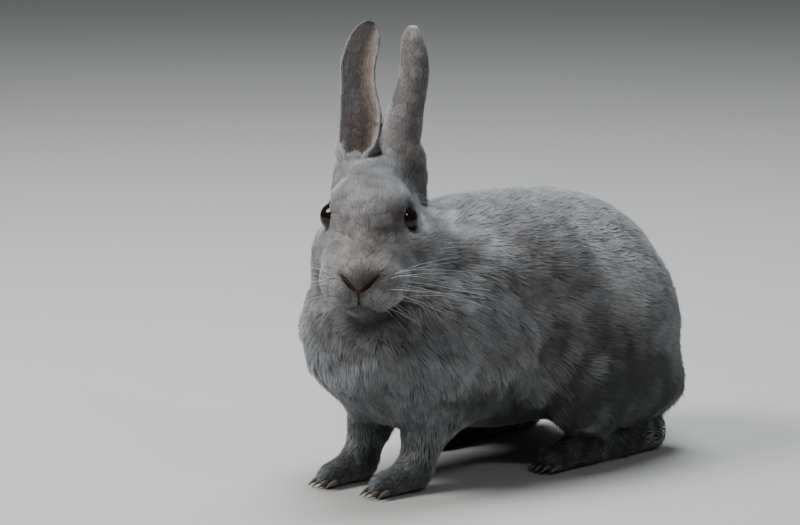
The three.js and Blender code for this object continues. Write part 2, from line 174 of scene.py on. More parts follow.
@dataclass(frozen=True)
class Limb:
    """A tapered limb between two points, with a round end of its own radius at each."""

    start: Vec
    end: Vec
    radii: tuple[float, float]

    def distance(self, points: Array) -> Array:
        """How far each point is outside the surface, negative inside."""
        start, end = np.array(self.start, points.dtype), np.array(self.end, points.dtype)
        length = np.linalg.norm(end - start)
        axis = (end - start) / length
        from_start = points - start
        reach = np.clip(from_start @ axis, 0, length)
        radius = self.radii[0] + (self.radii[1] - self.radii[0]) * reach / length
        return np.linalg.norm(from_start - reach[:, None] * axis, axis=1) - radius

    def on(self, side: Side) -> "Limb":
        """The form taken from the rabbit's left to the side asked for."""
        (x, y, z), (u, v, w) = self.start, self.end
        return replace(self, start=(x * side.value, y, z), end=(u * side.value, v, w))


def fillet(first: Array, second: Array, size: Array | float) -> Array:
    """The two distances joined with a round hollow of the given size."""
    share = np.maximum(size - np.abs(first - second), 0) / size
    return np.minimum(first, second) - share * share * size / 4


@dataclass(frozen=True)
class Blend:
    """Masses joined with round hollows."""

    size: float
    masses: tuple[Any, ...]

    def distance(self, points: Array) -> Array:
        """About how far each point is outside the joined surface."""
        return reduce(lambda a, b: fillet(a, b, self.size), (m.distance(points) for m in self.masses))


@dataclass(frozen=True)
class Pressed:
    """A mass with a shallow round hollow pressed into each side of it."""

    mass: Blend
    centre: Vec
    radius: float
    size: float

    def distance(self, points: Array) -> Array:
        """About how far each point is outside the pressed surface."""
        result = self.mass.distance(points)
        for side in Side:
            centre = np.array(self.centre, points.dtype) * np.array((side.value, 1, 1), points.dtype)
            hollow = np.linalg.norm(points - centre, axis=1) - self.radius
            result = -fillet(-result, hollow, self.size)
        return result


@dataclass(frozen=True)
class Frame:
    """A turned and shifted frame inside the maker's frame."""

    origin: Vec
    turns: tuple[tuple[str, float], ...]

    @cached_property
    def matrix(self) -> Array:
        """Columns are the frame's axes in the maker's frame."""
        steps = (Matrix.Rotation(math.radians(angle), 3, axis) for axis, angle in self.turns)
        return np.array(reduce(lambda a, b: a @ b, steps))

    def inwards(self, points: Array) -> Array:
        """Points of the maker's frame, in this frame."""
        return (points - np.array(self.origin, points.dtype)) @ self.matrix.astype(points.dtype)

    def outwards(self, points: Array) -> Array:
        """Points of this frame, in the maker's frame."""
        return points @ self.matrix.T + np.array(self.origin)

    def ways_out(self, vectors: Array) -> Array:
        """Directions of this frame, in the maker's frame."""
        return vectors @ self.matrix.T


@dataclass(frozen=True)
class InFrame:
    """A mass whose numbers are in a frame of its own."""

    mass: Any
    frame: Frame

    def distance(self, points: Array) -> Array:
        """About how far each point is outside the mass."""
        return self.mass.distance(self.frame.inwards(points))


def both(*masses: Any) -> list[Any]:
    """Each mass on the rabbit's left and right."""
    return [mass.on(side) for mass in masses for side in Side]


# ---------------------------------------------------------------- the rabbit's masses

HEAD_FRAME = Frame((4, -92, 150), (("Z", 36.5), ("X", 18), ("Y", 1.6)))
EYE_IN_HEAD: Vec = (18.2, -1, 0)
EYE_AXIS: Vec = (1, -0.16, 0.12)

HEAD_MASSES = (
    Lump((0, 14, -3), (23, 34, 22)),
    Lump((0, -2, 3), (18.5, 24, 14)),
    Lump((0, 39, 3), (13, 14, 12)),
    Limb((0, -6, 0), (0, -42, -12), (14, 9.5)),
    Limb((0, -8, -12), (0, -38, -19), (19, 13.5)),
    Lump((0, -38, -29), (10, 12, 7.5)),
    *both(
        Lump((17, 11, -26), (15.5, 24, 17)),
        Lump((12.5, 2, 8.5), (8, 13, 6), (0, 20, 0)),
        Lump((10, -42, -20), (11, 13, 10.5)),
        Limb((13, -4, -13), (10.5, -34, -18), (13, 11.5)),
        Limb((13.5, 35, -3), (12.8, 43.5, 14), (12, 9.5)),
    ),
    Limb((17, 41, -2), (17, 45, 15), (10.5, 9.5)),
    Lump((0, -49, -14), (8.5, 7, 7.5)),
)

EYE_HOLLOW: Vec = tuple(np.array(EYE_IN_HEAD) + 17.6 * unit(np.array(EYE_AXIS)))

TRUNK = Blend(
    30,
    (
        Lump((0, 40, 98), (60, 62, 54)),
        Lump((0, 82, 84.5), (59, 53, 56)),
        Lump((0, -12, 94), (57, 66, 56)),
        Lump((0, 22, 61), (48, 82, 39)),
        Lump((0, -66, 82), (59, 48, 47)),
        Limb((2, -70, 114), (0, -34, 98), (34, 46)),
    ),
)


def foreleg(side: Side) -> Blend:
    """One foreleg, from the shoulder to the paw."""
    upper = Blend(
        14,
        (
            Lump((38, -42, 88), (20, 30, 36), (-18, 0, 0)).on(side),
            Limb((42, -34, 80), (36, -30, 60), (19, 16)).on(side),
        ),
    )
    lower = (
        Limb((32, -42, 58), (20.5, -66, 28), (15.5, 10)),
        Limb((20.5, -66, 28), (20, -72, 13), (10, 9)),
        Limb((20, -75, 9.5), (19, -99.5, 6.5), (10, 7.5)),
    )
    return Blend(9, (upper, *(limb.on(side) for limb in lower)))


def hindleg(side: Side) -> Blend:
    """One folded hind leg, from the thigh to the foot."""
    masses = (
        Lump((44, 69, 69), (26, 52.5, 48), (-16, 0, 0)),
        Lump((50, 28, 53), (18, 26, 33), (18, 0, 0)),
        Limb((50, 42, 38), (46, 106, 39), (20, 17)),
        Limb((46, 98, 10), (46, 12, 7.5), (11, 9)),
    )
    return Blend(12, tuple(mass.on(side) for mass in masses))


FLESH = Blend(
    14,
    (
        TRUNK,
        *(leg(side) for side in Side for leg in (foreleg, hindleg)),
        Limb((0, 120, 45), (0, 139, 75), (13, 11)),
        InFrame(Pressed(Blend(9, HEAD_MASSES), EYE_HOLLOW, 15, 3), HEAD_FRAME),
    ),
)


# ---------------------------------------------------------------- the lie of the coat


class Patch(Enum):
    """The pieces that the coat is made in."""

    FACE = "coat_face"
    CHEEKS = "coat_cheeks"
    NECK = "coat_neck"
    BREAST = "coat_breast"
    SHOULDERS = "coat_shoulders"
    BACK = "coat_back"
    FLANKS = "coat_flanks"
    RUMP = "coat_rump"
    HAUNCHES = "coat_haunches"
    FEET = "coat_feet"
    EAR_LEFT = "coat_ear_left"
    EAR_RIGHT = "coat_ear_right"


FINE = (Patch.EAR_LEFT, Patch.EAR_RIGHT)


@dataclass(frozen=True)
class Lie:
    """How the coat is at one place: which way it lies, and how long, deep and fine it is.

    Lengths are in millimetres, crowd is in tufts on each square millimetre, and brown, pale
    and dark run from 0 to 1. Brown and pale are the coat's markings; dark is painted shade,
    on the forehead, under the head and low on the body.
    """

    place: Vec
    way: Vec
    patch: Patch
    length: float
    depth: float
    width: float
    crowd: float
    clump: float = 0.2
    brown: float = 0.0
    pale: float = 0.0
    dark: float = 0.0

    def on(self, side: Side) -> "Lie":
        """The same on the other side of the body where the side asks for it."""
        (x, y, z), (u, v, w) = self.place, self.way
        s = side.value
        return replace(self, place=(x * s, y, z), way=(u * s, v, w))


def head_lies() -> list[Lie]:
    """The coat of the head, in the head's frame."""
    face = dict(patch=Patch.FACE, clump=0.15)
    fine = dict(**face, length=2.6, depth=0.8, width=0.15, crowd=8.0)
    short = dict(**face, length=4.0, depth=1.2, width=0.17, crowd=7.0)
    medium = dict(**face, length=6.0, depth=1.9, width=0.21, crowd=5.0)
    cheek = dict(patch=Patch.CHEEKS, length=10.0, depth=3.8, width=0.26, crowd=2.6, clump=0.3)
    # The dark on the forehead and crown is painted shade, and so is the dark under the chin, jaw and
    # cheeks.
    middle = [
        Lie((0, -55, -10), (0, 0.7, 0.7), **fine, brown=0.8),
        Lie((0, -47, -7), (0, 1, 0.4), **fine, brown=0.7),
        Lie((0, -30, -1), (0, 1, 0.3), **short, brown=0.55),
        Lie((0, -14, 9), (0, 1, 0.3), **short, brown=0.35),
        Lie((0, 2, 17), (0, 1, 0), **medium, brown=0.25, dark=0.55),
        Lie((0, 22, 18), (0, 1, -0.1), **(medium | {"length": 8.0, "depth": 2.4}), brown=0.1, dark=0.4),
        Lie((0, 42, 15), (0, 1, 0.1), **(medium | {"length": 9.0, "depth": 2.8})),
        Lie((0, -50, -24), (0, 0.1, -1), **fine, pale=0.15),
        Lie((0, -46, -33), (0, 1, -0.6), **short, pale=0.1),
        Lie((0, -30, -36), (0, 1, -0.1), **medium, dark=0.2),
        Lie((0, -8, -40), (0, 1, -0.2), **cheek, dark=0.3),
    ]
    sides = [
        Lie((11, -52, -18), (0.6, 0.7, -0.5), **fine, brown=0.1, pale=0.25),
        Lie((20, -42, -20), (0.4, 1, -0.35), **short, pale=0.25),
        Lie((10, -40, -3), (0.3, 1, 0.1), **short, brown=0.5),
        Lie((23, -28, -22), (0.2, 1, -0.3), **medium, pale=0.3),
        Lie((16, -22, -2), (0.2, 1, -0.1), **short, brown=0.45),
        Lie((17, -11, 2), (0.3, 1, 0.5), **(fine | {"length": 3.2}), brown=0.45),
        Lie((19, -13, -7), (0.3, 1, -0.7), **(fine | {"length": 3.2}), brown=0.3, pale=0.1),
        Lie((23, -1, -11), (0.2, 1, -0.6), **short, pale=0.35),
        Lie((20, 0, 11), (0.2, 1, 0.5), **short, pale=0.2),
        Lie((25, 10, 2), (0.1, 1, 0.0), **medium, pale=0.2),
        Lie((12, -2, 15), (0.15, 1, 0.1), **medium, brown=0.3, dark=0.3),
        Lie((20, 20, 14), (0.1, 1, 0.1), **medium, brown=0.1, dark=0.25),
        Lie((30, -8, -20), (0.1, 1, -0.4), **cheek, pale=0.25),
        Lie((35, 8, -24), (0, 1, -0.4), **cheek),
        Lie((30, 24, -20), (0, 1, -0.5), **cheek),
        Lie((24, 6, -40), (0, 1, -0.5), **cheek, dark=0.2),
        Lie((26, 30, -4), (0, 1, -0.3), **cheek),
        Lie((14, 44, 22), (0, 0.5, 1), **(short | {"length": 5.5, "depth": 1.4}), brown=0.4),
        Lie((22, 45, 8), (0, 0.5, 1), **(short | {"length": 5.5, "depth": 1.4}), brown=0.4),
    ]
    return middle + [lie.on(side) for lie in sides for side in Side]


def body_lies() -> list[Lie]:
    """The coat of the body and legs, in the maker's frame."""
    plush = dict(length=16.0, depth=7.0, width=0.36, crowd=1.6)
    below = plush | dict(width=0.42, crowd=1.1)
    ruff = dict(length=19.0, depth=8.5, width=0.36, crowd=1.6, clump=0.42)
    leg = dict(patch=Patch.FEET, length=8.5, depth=2.8, width=0.3, crowd=1.15)
    foot = dict(patch=Patch.FEET, length=5.0, depth=1.5, width=0.26, crowd=1.75)
    # The dark on the breast, belly, lower flanks, shoulders and haunches is painted shade, darker the
    # lower it lies.
    middle = [
        Lie((0, -48, 149), (0, 1, -0.1), Patch.NECK, **plush),
        Lie((0, -20, 151), (0, 1, 0), Patch.BACK, **plush, clump=0.12),
        Lie((0, 12, 152), (0, 1, 0), Patch.BACK, **plush, clump=0.12),
        Lie((0, 50, 152), (0, 1, -0.1), Patch.BACK, **plush, clump=0.12),
        Lie((0, 90, 138), (0, 1, -0.7), Patch.RUMP, **plush, clump=0.15),
        Lie((0, 120, 110), (0, 0.7, -1), Patch.RUMP, **plush, clump=0.2),
        Lie((0, 131, 80), (0, 0.4, -1), Patch.RUMP, **plush, clump=0.25),
        Lie((0, 150, 74), (0, 0.35, 1), Patch.RUMP, 9, 3.6, 0.3, 2.6, 0.15, pale=0.15),
        Lie((0, 142, 58), (0, 0.5, 1), Patch.RUMP, 10, 4.5, 0.32, 2.0, 0.15, pale=0.1),
        Lie((0, 124, 30), (0, 1, 0.1), Patch.RUMP, **below, dark=0.3),
        Lie((0, -104, 118), (0, 0.2, -1), Patch.BREAST, **ruff, dark=0.15),
        Lie((0, -114, 85), (0, -0.1, -1), Patch.BREAST, **ruff),
        Lie((0, -100, 52), (0, 0.3, -1), Patch.BREAST, **ruff, dark=0.1),
        Lie((0, -60, 38), (0, 0.9, -0.4), Patch.BREAST, **below, dark=0.4),
        Lie((0, 20, 24), (0, 1, 0), Patch.FLANKS, **below, dark=0.6),
        Lie((0, 90, 26), (0, 1, 0), Patch.RUMP, **below, dark=0.5),
    ]
    sides = [
        Lie((32, -98, 108), (0.3, 0.3, -1), Patch.BREAST, **ruff),
        Lie((48, -96, 84), (0.2, 0.3, -1), Patch.BREAST, **ruff),
        Lie((34, -94, 55), (0, 0.3, -1), Patch.BREAST, **ruff, dark=0.15),
        Lie((40, -72, 124), (0.2, 0.8, -0.7), Patch.NECK, **ruff),
        Lie((36, -42, 138), (0.2, 1, -0.4), Patch.NECK, **plush, clump=0.25),
        Lie((57, -52, 100), (0.1, 0.7, -0.8), Patch.SHOULDERS, **ruff),
        Lie((60, -34, 76), (0.1, 0.6, -0.9), Patch.SHOULDERS, **ruff),
        Lie((52, -24, 52), (0, 0.6, -0.9), Patch.SHOULDERS, **ruff, dark=0.2),
        Lie((44, -10, 135), (0.1, 1, -0.35), Patch.BACK, **plush, clump=0.2),
        Lie((45, 40, 135), (0.1, 1, -0.3), Patch.BACK, **plush, clump=0.15),
        Lie((42, 84, 118), (0.1, 1, -0.6), Patch.HAUNCHES, **plush, clump=0.15),
        Lie((58, -8, 100), (0, 1, -0.45), Patch.FLANKS, **plush, clump=0.3, brown=0.15),
        Lie((60, 4, 62), (0, 1, -0.6), Patch.FLANKS, **plush, clump=0.3, brown=0.2, dark=0.2),
        Lie((48, -4, 36), (0, 0.9, -0.6), Patch.FLANKS, **plush, clump=0.3, dark=0.45),
        Lie((62, 35, 108), (0, 1, -0.3), Patch.HAUNCHES, **plush, brown=0.1),
        Lie((69, 60, 88), (0, 1, -0.25), Patch.HAUNCHES, **plush),
        Lie((66, 96, 84), (0, 0.9, -0.6), Patch.HAUNCHES, **plush),
        Lie((68, 26, 56), (0, 1, -0.35), Patch.HAUNCHES, **plush, dark=0.15),
        Lie((69, 70, 50), (0, 1, -0.4), Patch.HAUNCHES, **plush, dark=0.25),
        Lie((58, 112, 48), (0, 0.7, -0.8), Patch.HAUNCHES, **plush, dark=0.2),
        Lie((30, 126, 70), (0, 0.5, -1), Patch.RUMP, **plush),
        Lie((62, 60, 24), (0, 0.8, -0.6), Patch.HAUNCHES, **plush, dark=0.3),
        Lie((36, -58, 44), (0, 0.15, -1), **leg),
        Lie((24, -70, 28), (0, 0, -1), **leg),
        Lie((20, -80, 16), (0, -0.7, -0.6), **foot),
        Lie((19, -100, 12), (0, -1, -0.3), **foot),
        Lie((46, 90, 18), (0, -1, 0), **leg),
        Lie((46, 40, 17), (0, -1, 0), **foot),
        Lie((46, 6, 13), (0, -1, -0.4), **foot),
    ]
    return middle + [lie.on(side) for lie in sides for side in Side]


@dataclass(frozen=True)
class Tone:
    """A soft-edged stretch of the coat, along a line, browner, paler or darker: some are markings of the
    coat, many are painted shade and painted light.
    """

    start: Vec
    end: Vec
    radius: float
    brown: float = 0.0
    pale: float = 0.0
    dark: float = 0.0

    def on(self, side: Side) -> "Tone":
        """The same on the side asked for."""
        (a, b, c), (d, e, f) = self.start, self.end
        return replace(self, start=(a * side.value, b, c), end=(d * side.value, e, f))

    def share(self, points: Array, stray: Array) -> Array:
        """How strong the tone is at each point.

        Args:
            points: the points.
            stray: how far its edge strays at each, as a share of its radius.

        Returns:
            Numbers from 0 to 1.
        """
        start = np.array(self.start)
        along = np.array(self.end) - start
        step = np.clip((points - start) @ along / max(along @ along, 1e-6), 0, 1)
        gap = np.linalg.norm(points - start - step[:, None] * along, axis=1) / self.radius
        return 1 - smoothstep(gap + stray, 0.3, 1.2)


# Tones of the head: the scar, the brown nose, the pale eye rings and the pale muzzle are markings; the
# rest of the dark is painted shade.
HEAD_TONES_AND_SHADE = (
    Tone((-8.9, -23.2, 8.2), (-6, -31.2, 2.9), 2.2, brown=-0.6, dark=0.75),
    Tone((8.2, -39, -2), (7.6, -34.8, 0), 4, brown=0.8, dark=0.1),
    Tone((0, -42, -1), (0, -52, -6), 8, brown=0.5, dark=0.45),
    Tone((20.6, -33, -9), (17.5, -34, -6.5), 5, dark=0.4),
    Tone((17.5, -10.3, 12), (15.8, -15, 9.3), 6, brown=0.2, dark=0.25),
    Tone((22.9, 37.6, 20), (24.8, 28.8, 3), 9, brown=0.45, dark=0.35),
    Tone((17, 32, 17), (20.3, 30.2, 11.4), 7, brown=0.4, dark=0.25),
    Tone((31, 15, -1), (34.8, 1.6, -6), 3.2, dark=0.75),
    Tone((36, -4, -9), (34.8, 1.6, -6), 3.0, dark=0.4),
    # The next five tones are painted shade: under the chin, on the forehead, on the right cheek and
    # under the jaw.
    Tone((0, -50, -30), (0, -40, -37), 10, dark=0.6),
    Tone((0, 6, 19), (0, 26, 20), 15, dark=0.22),
    Tone((-26, -6, -20), (-24, 6, -24), 12, dark=0.15),
    Tone((12, -46, -34), (16, -32, -38), 8, dark=0.5),
    Tone((-12, -46, -34), (-16, -32, -38), 8, dark=0.4),
    *(
        tone.on(side)
        for tone in (
            Tone((8.6, -53, -8.4), (2, -57.5, -13.5), 2.6, brown=0.9, dark=0.35),
            Tone((21.2, 4.9, 10.5), (17.2, 3.9, 14.2), 4, pale=0.4),
            Tone((26, 8, 0.5), (30, 0.5, -4.5), 4, pale=0.45),
            Tone((34, -8, -9.5), (30, 0.5, -4.5), 4, pale=0.35),
            Tone((24.7, -13, -3.5), (21, -17, -2), 3.5, pale=0.35, brown=-0.2),
            Tone((11, -55, -16), (17, -50, -20), 10, pale=0.5),
        )
        for side in Side
    ),
)

# Tones of the body: mostly painted shade, in the fold behind the shoulder, at the elbow, under the chin
# and low on the belly, flanks and haunches, and painted light on the top of the haunch and the shoulder
# ridge; the brown is mostly the coat's own.
BODY_SHADE_AND_LIGHT_TONES = (
    # Painted shadow of the chin on the breast, on one side only.
    Tone((-8, -113, 96), (34, -104, 98), 13, dark=0.4, brown=0.2),
    Tone((43, -95, 104), (49, -84, 103), 9, dark=0.5, brown=0.2),
    *(
        tone.on(side)
        for tone in (
            Tone((19, -52, 148), (37, -42, 139), 13, pale=0.45),
            # Painted light on the shoulder ridge.
            Tone((66, -42, 99), (64, -22, 90), 9, pale=0.25),
            Tone((52, -75, 108), (58, -72, 80), 8, pale=0.2),
            Tone((45, -57, 128), (54, -48, 119), 9, dark=0.4, brown=0.5),
            Tone((56, -45, 116), (61, -22, 102), 10, dark=0.5, brown=0.5),
            Tone((53, -82, 94), (55, -80, 86), 6, dark=0.4, brown=0.3),
            # From here to the fold: painted shade on the lower shoulder, the elbow and the fold behind
            # it.
            Tone((63, -60, 82), (63, -30, 78), 14, dark=0.45, brown=0.3),
            Tone((60, -52, 62), (57, -24, 58), 15, dark=0.65, brown=0.2),
            Tone((50, -62, 52), (44, -14, 40), 15, dark=0.8),
            Tone((60, -8, 88), (57, 0, 46), 13, dark=1.0, brown=0.3),
            Tone((58, 4, 44), (52, -4, 32), 15, dark=0.9),
            Tone((41, -27, 137), (54, 0, 124), 13, dark=0.2, brown=0.4),
            Tone((59, 15, 112), (56, -6, 112), 13, dark=0.3, brown=0.4),
            # Painted light on the top of the haunch.
            Tone((54, 36, 122), (63, 50, 106), 24, pale=0.9),
            Tone((65, 38, 94), (69, 62, 86), 8, brown=0.3),
            # Painted shade low on the haunch, along the belly, behind the forelegs and by the hind feet.
            Tone((64, 18, 80), (69, 62, 62), 18, dark=0.6, brown=0.2),
            Tone((68, 26, 48), (69, 80, 42), 26, dark=0.8),
            Tone((30, 0, 26), (30, 90, 26), 34, dark=0.9),
            Tone((4, -100, 50), (20, -80, 38), 13, dark=0.3),
            Tone((14, -76, 34), (16, -78, 22), 9, dark=0.35),
            Tone((50, 20, 16), (58, 80, 16), 14, dark=0.3),
        )
        for side in Side
    ),
)


@dataclass
class CoatMap:
    """The coat at any point, blended from the nearest places where it is known."""

    lies: list[Lie]
    sharpness: float = 2.2
    softness: float = 9.0
    fields: tuple[str, ...] = (
        "length", "depth", "width", "crowd", "clump", "brown", "pale", "dark",
    )

    def __post_init__(self) -> None:
        """Lays the lies' numbers out as tables."""
        self.places = np.array([lie.place for lie in self.lies], np.float32)
        self.ways = unit(np.array([lie.way for lie in self.lies], np.float32))
        rows = [[getattr(lie, name) for name in self.fields] for lie in self.lies]
        self.table = np.array(rows, np.float32)
        self.patches = list(Patch)
        self.patch_of = np.array([self.patches.index(lie.patch) for lie in self.lies])

    def weights(self, points: Array) -> Array:
        """How much each place counts at each point."""
        points = points.astype(np.float32)
        squares = (
            (points**2).sum(axis=1)[:, None] + (self.places**2).sum(axis=1) - 2 * points @ self.places.T
        )
        weights = (np.maximum(squares, 0) + self.softness) ** -self.sharpness
        return weights / weights.sum(axis=1, keepdims=True)

    def depth(self, points: Array) -> Array:
        """The coat's depth at each point."""
        return self.weights(points) @ self.table[:, self.fields.index("depth")]

    def at(self, points: Array) -> dict[str, Array]:
        """Every number of the coat at each point, with its way and its patch."""
        weights = self.weights(points)
        numbers = weights @ self.table
        coat = {name: numbers[:, i] for i, name in enumerate(self.fields)}
        coat["way"] = unit(weights @ self.ways)
        coat["patch"] = self.patch_of[np.argmax(weights, axis=1)]
        return coat


def whole_coat() -> CoatMap:
    """The coat of the whole rabbit but its ears."""
    head = [
        replace(
            lie,
            place=tuple(HEAD_FRAME.outwards(np.array([lie.place]))[0]),
            way=tuple(HEAD_FRAME.ways_out(np.array([lie.way]))[0]),
        )
        for lie in head_lies()
    ]
    return CoatMap(head + body_lies())


# ---------------------------------------------------------------- meshes


CORNERS = np.array([[i & 1, (i >> 1) & 1, (i >> 2) & 1] for i in range(8)])
CELL_EDGES = [(i, i | 1 << axis) for i in range(8) for axis in range(3) if not i >> axis & 1]


def net_of(distance: Callable[[Array], Array], low: Vec, high: Vec, cell: float) -> tuple[Array, Array]:
    """A closed net of four-sided faces where a distance is zero.

    Args:
        distance: the distance of many points from a surface, negative inside.
        low: the lowest corner of the box to look in.
        high: its highest corner.
        cell: the size of the net's cells.

    Returns:
        The net's points, and its faces with anticlockwise corners seen from outside.
    """
    axes = [np.arange(a, b + cell, cell, dtype=np.float32) for a, b in zip(low, high)]
    value = np.empty([len(axis) for axis in axes], np.float32)
    across = np.stack(np.meshgrid(axes[1], axes[2], indexing="ij"), axis=-1).reshape(-1, 2)
    rows = 12
    for first in range(0, len(axes[0]), rows):
        xs = axes[0][first : first + rows]
        points = np.column_stack([np.repeat(xs, len(across)), np.tile(across, (len(xs), 1))])
        value[first : first + rows] = distance(points).reshape(len(xs), *value.shape[1:])
    for axis in range(3):
        ends = np.moveaxis(value, axis, 0)
        ends[0] = ends[-1] = cell
    value[value == 0] = 1e-6

    counts = np.array(value.shape) - 1
    corners = np.stack(
        [value[i : counts[0] + i, j : counts[1] + j, k : counts[2] + k] for i, j, k in CORNERS], axis=-1
    )
    crossed = (corners < 0).any(axis=-1) & (corners > 0).any(axis=-1)
    cells = np.argwhere(crossed)
    corners = corners[crossed]
    total, hits = np.zeros((len(cells), 3)), np.zeros(len(cells))
    for a, b in CELL_EDGES:
        cut = (corners[:, a] < 0) != (corners[:, b] < 0)
        share = corners[cut, a] / (corners[cut, a] - corners[cut, b])
        total[cut] += CORNERS[a] + share[:, None] * (CORNERS[b] - CORNERS[a])
        hits[cut] += 1
    points = np.array(low) + cell * (cells + total / hits[:, None])
    index = np.full(crossed.shape, -1)
    index[crossed] = np.arange(len(cells))

    faces = []
    inside = value < 0
    for axis in range(3):
        u, v = np.eye(3, dtype=int)[[(axis + 1) % 3, (axis + 2) % 3]]
        before, after = (np.moveaxis(inside, axis, 0)[part] for part in (slice(-1), slice(1, None)))
        nodes = np.argwhere(np.moveaxis(before != after, 0, axis))
        ring = [tuple((nodes - du * u - dv * v).T) for du, dv in ((0, 0), (1, 0), (1, 1), (0, 1))]
        quads = np.column_stack([index[place] for place in ring])
        outwards = inside[tuple(nodes.T)]
        faces.append(np.where(outwards[:, None], quads, quads[:, ::-1]))
    return points, np.concatenate(faces)


def settled(distance: Callable[[Array], Array], points: Array, near: float) -> Array:
    """Points moved onto the surface where a distance is zero, where they are near it.

    Args:
        distance: the distance of many points from a surface.
        points: the points to move.
        near: how far a point may be from the surface and still move.

    Returns:
        The moved points.
    """
    points = points.astype(np.float64)
    reach = 0.1
    for _ in range(2):
        value = distance(points)
        slope = np.column_stack(
            [(distance(points + reach * axis) - value) / reach for axis in np.eye(3)]
        )
        step = value / np.maximum((slope**2).sum(axis=1), 0.3)
        points -= np.where(np.abs(value) < near, step, 0)[:, None] * slope
    return points


def mesh_object(name: str, points: Array, faces: Iterable[Sequence[int]]) -> bpy.types.Object:
    """A new mesh object, given in millimetres in the maker's frame.

    Args:
        name: the object's name.
        points: its points.
        faces: the corners of each face.

    Returns:
        The object, linked into the scene.
    """
    mesh = bpy.data.meshes.new(name)
    faces = faces.tolist() if isinstance(faces, np.ndarray) else list(faces)
    mesh.from_pydata((np.asarray(points) * MM).tolist(), [], faces)
    mesh.polygons.foreach_set("use_smooth", np.ones(len(mesh.polygons), bool))
    mesh.update()
    piece = bpy.data.objects.new(name, mesh)
    bpy.context.scene.collection.objects.link(piece)
    return piece


def loft(rings: Array) -> tuple[Array, Array]:
    """A closed mesh through rings of points, anticlockwise seen from the last ring.

    Args:
        rings: an array of rings, each of the same even number of points.

    Returns:
        The points and the faces.
    """
    count = rings.shape[1]
    last = (len(rings) - 1) * count
    i = np.arange(count)
    j = (i + 1) % count
    starts = np.arange(0, last, count)[:, None]
    walls = np.stack([starts + i, starts + j, starts + count + j, starts + count + i], axis=-1)
    k = np.arange(count // 2 - 1)
    low_cap = np.stack([k, count - 1 - k, count - 2 - k, k + 1], axis=-1)
    high_cap = last + low_cap[:, ::-1]
    return rings.reshape(-1, 3), np.concatenate([walls.reshape(-1, 4), low_cap, high_cap])


def tube(path: Array, radii: Array, sides: int) -> tuple[Array, Array]:
    """A closed round tube along a path.

    Args:
        path: the points of its middle line.
        radii: its radius at each of them.
        sides: how many sides it has, an even number.

    Returns:
        The points and the faces.
    """
    ways = unit(np.gradient(path, axis=0))
    helper = np.eye(3)[np.argmin(np.abs(ways).max(axis=0))]
    across = unit(np.cross(ways, helper))
    over = np.cross(ways, across)
    turns = np.arange(sides) * 2 * math.pi / sides
    ring = np.cos(turns)[:, None] * across[:, None] + np.sin(turns)[:, None] * over[:, None]
    return loft(path[:, None] + radii[:, None, None] * ring)


def merged(parts: Iterable[tuple[Array, Array]]) -> tuple[Array, list[list[int]]]:
    """Several meshes as one.

    Args:
        parts: the points and faces of each.

    Returns:
        The points and the faces of all.
    """
    points, faces, start = [], [], 0
    for part_points, part_faces in parts:
        points.append(part_points)
        faces += (np.asarray(part_faces) + start).tolist()
        start += len(part_points)
    return np.concatenate(points), faces


def applied(piece: bpy.types.Object) -> None:
    """Turns a piece's modifiers into its mesh."""
    graph = bpy.context.evaluated_depsgraph_get()
    mesh = bpy.data.meshes.new_from_object(piece.evaluated_get(graph))
    old = piece.data
    piece.modifiers.clear()
    piece.data = mesh
    bpy.data.meshes.remove(old)


def carve(piece: bpy.types.Object, other: bpy.types.Object, operation: str) -> None:
    """Joins another solid to a piece, or cuts it away, and removes the other.

    Args:
        piece: the piece that changes.
        other: the solid to join or cut away.
        operation: UNION or DIFFERENCE.
    """
    cut = piece.modifiers.new("cut", "BOOLEAN")
    cut.operation = operation
    cut.object = other
    cut.solver = "MANIFOLD"
    applied(piece)
    bpy.data.objects.remove(other, do_unlink=True)


# ---------------------------------------------------------------- ears


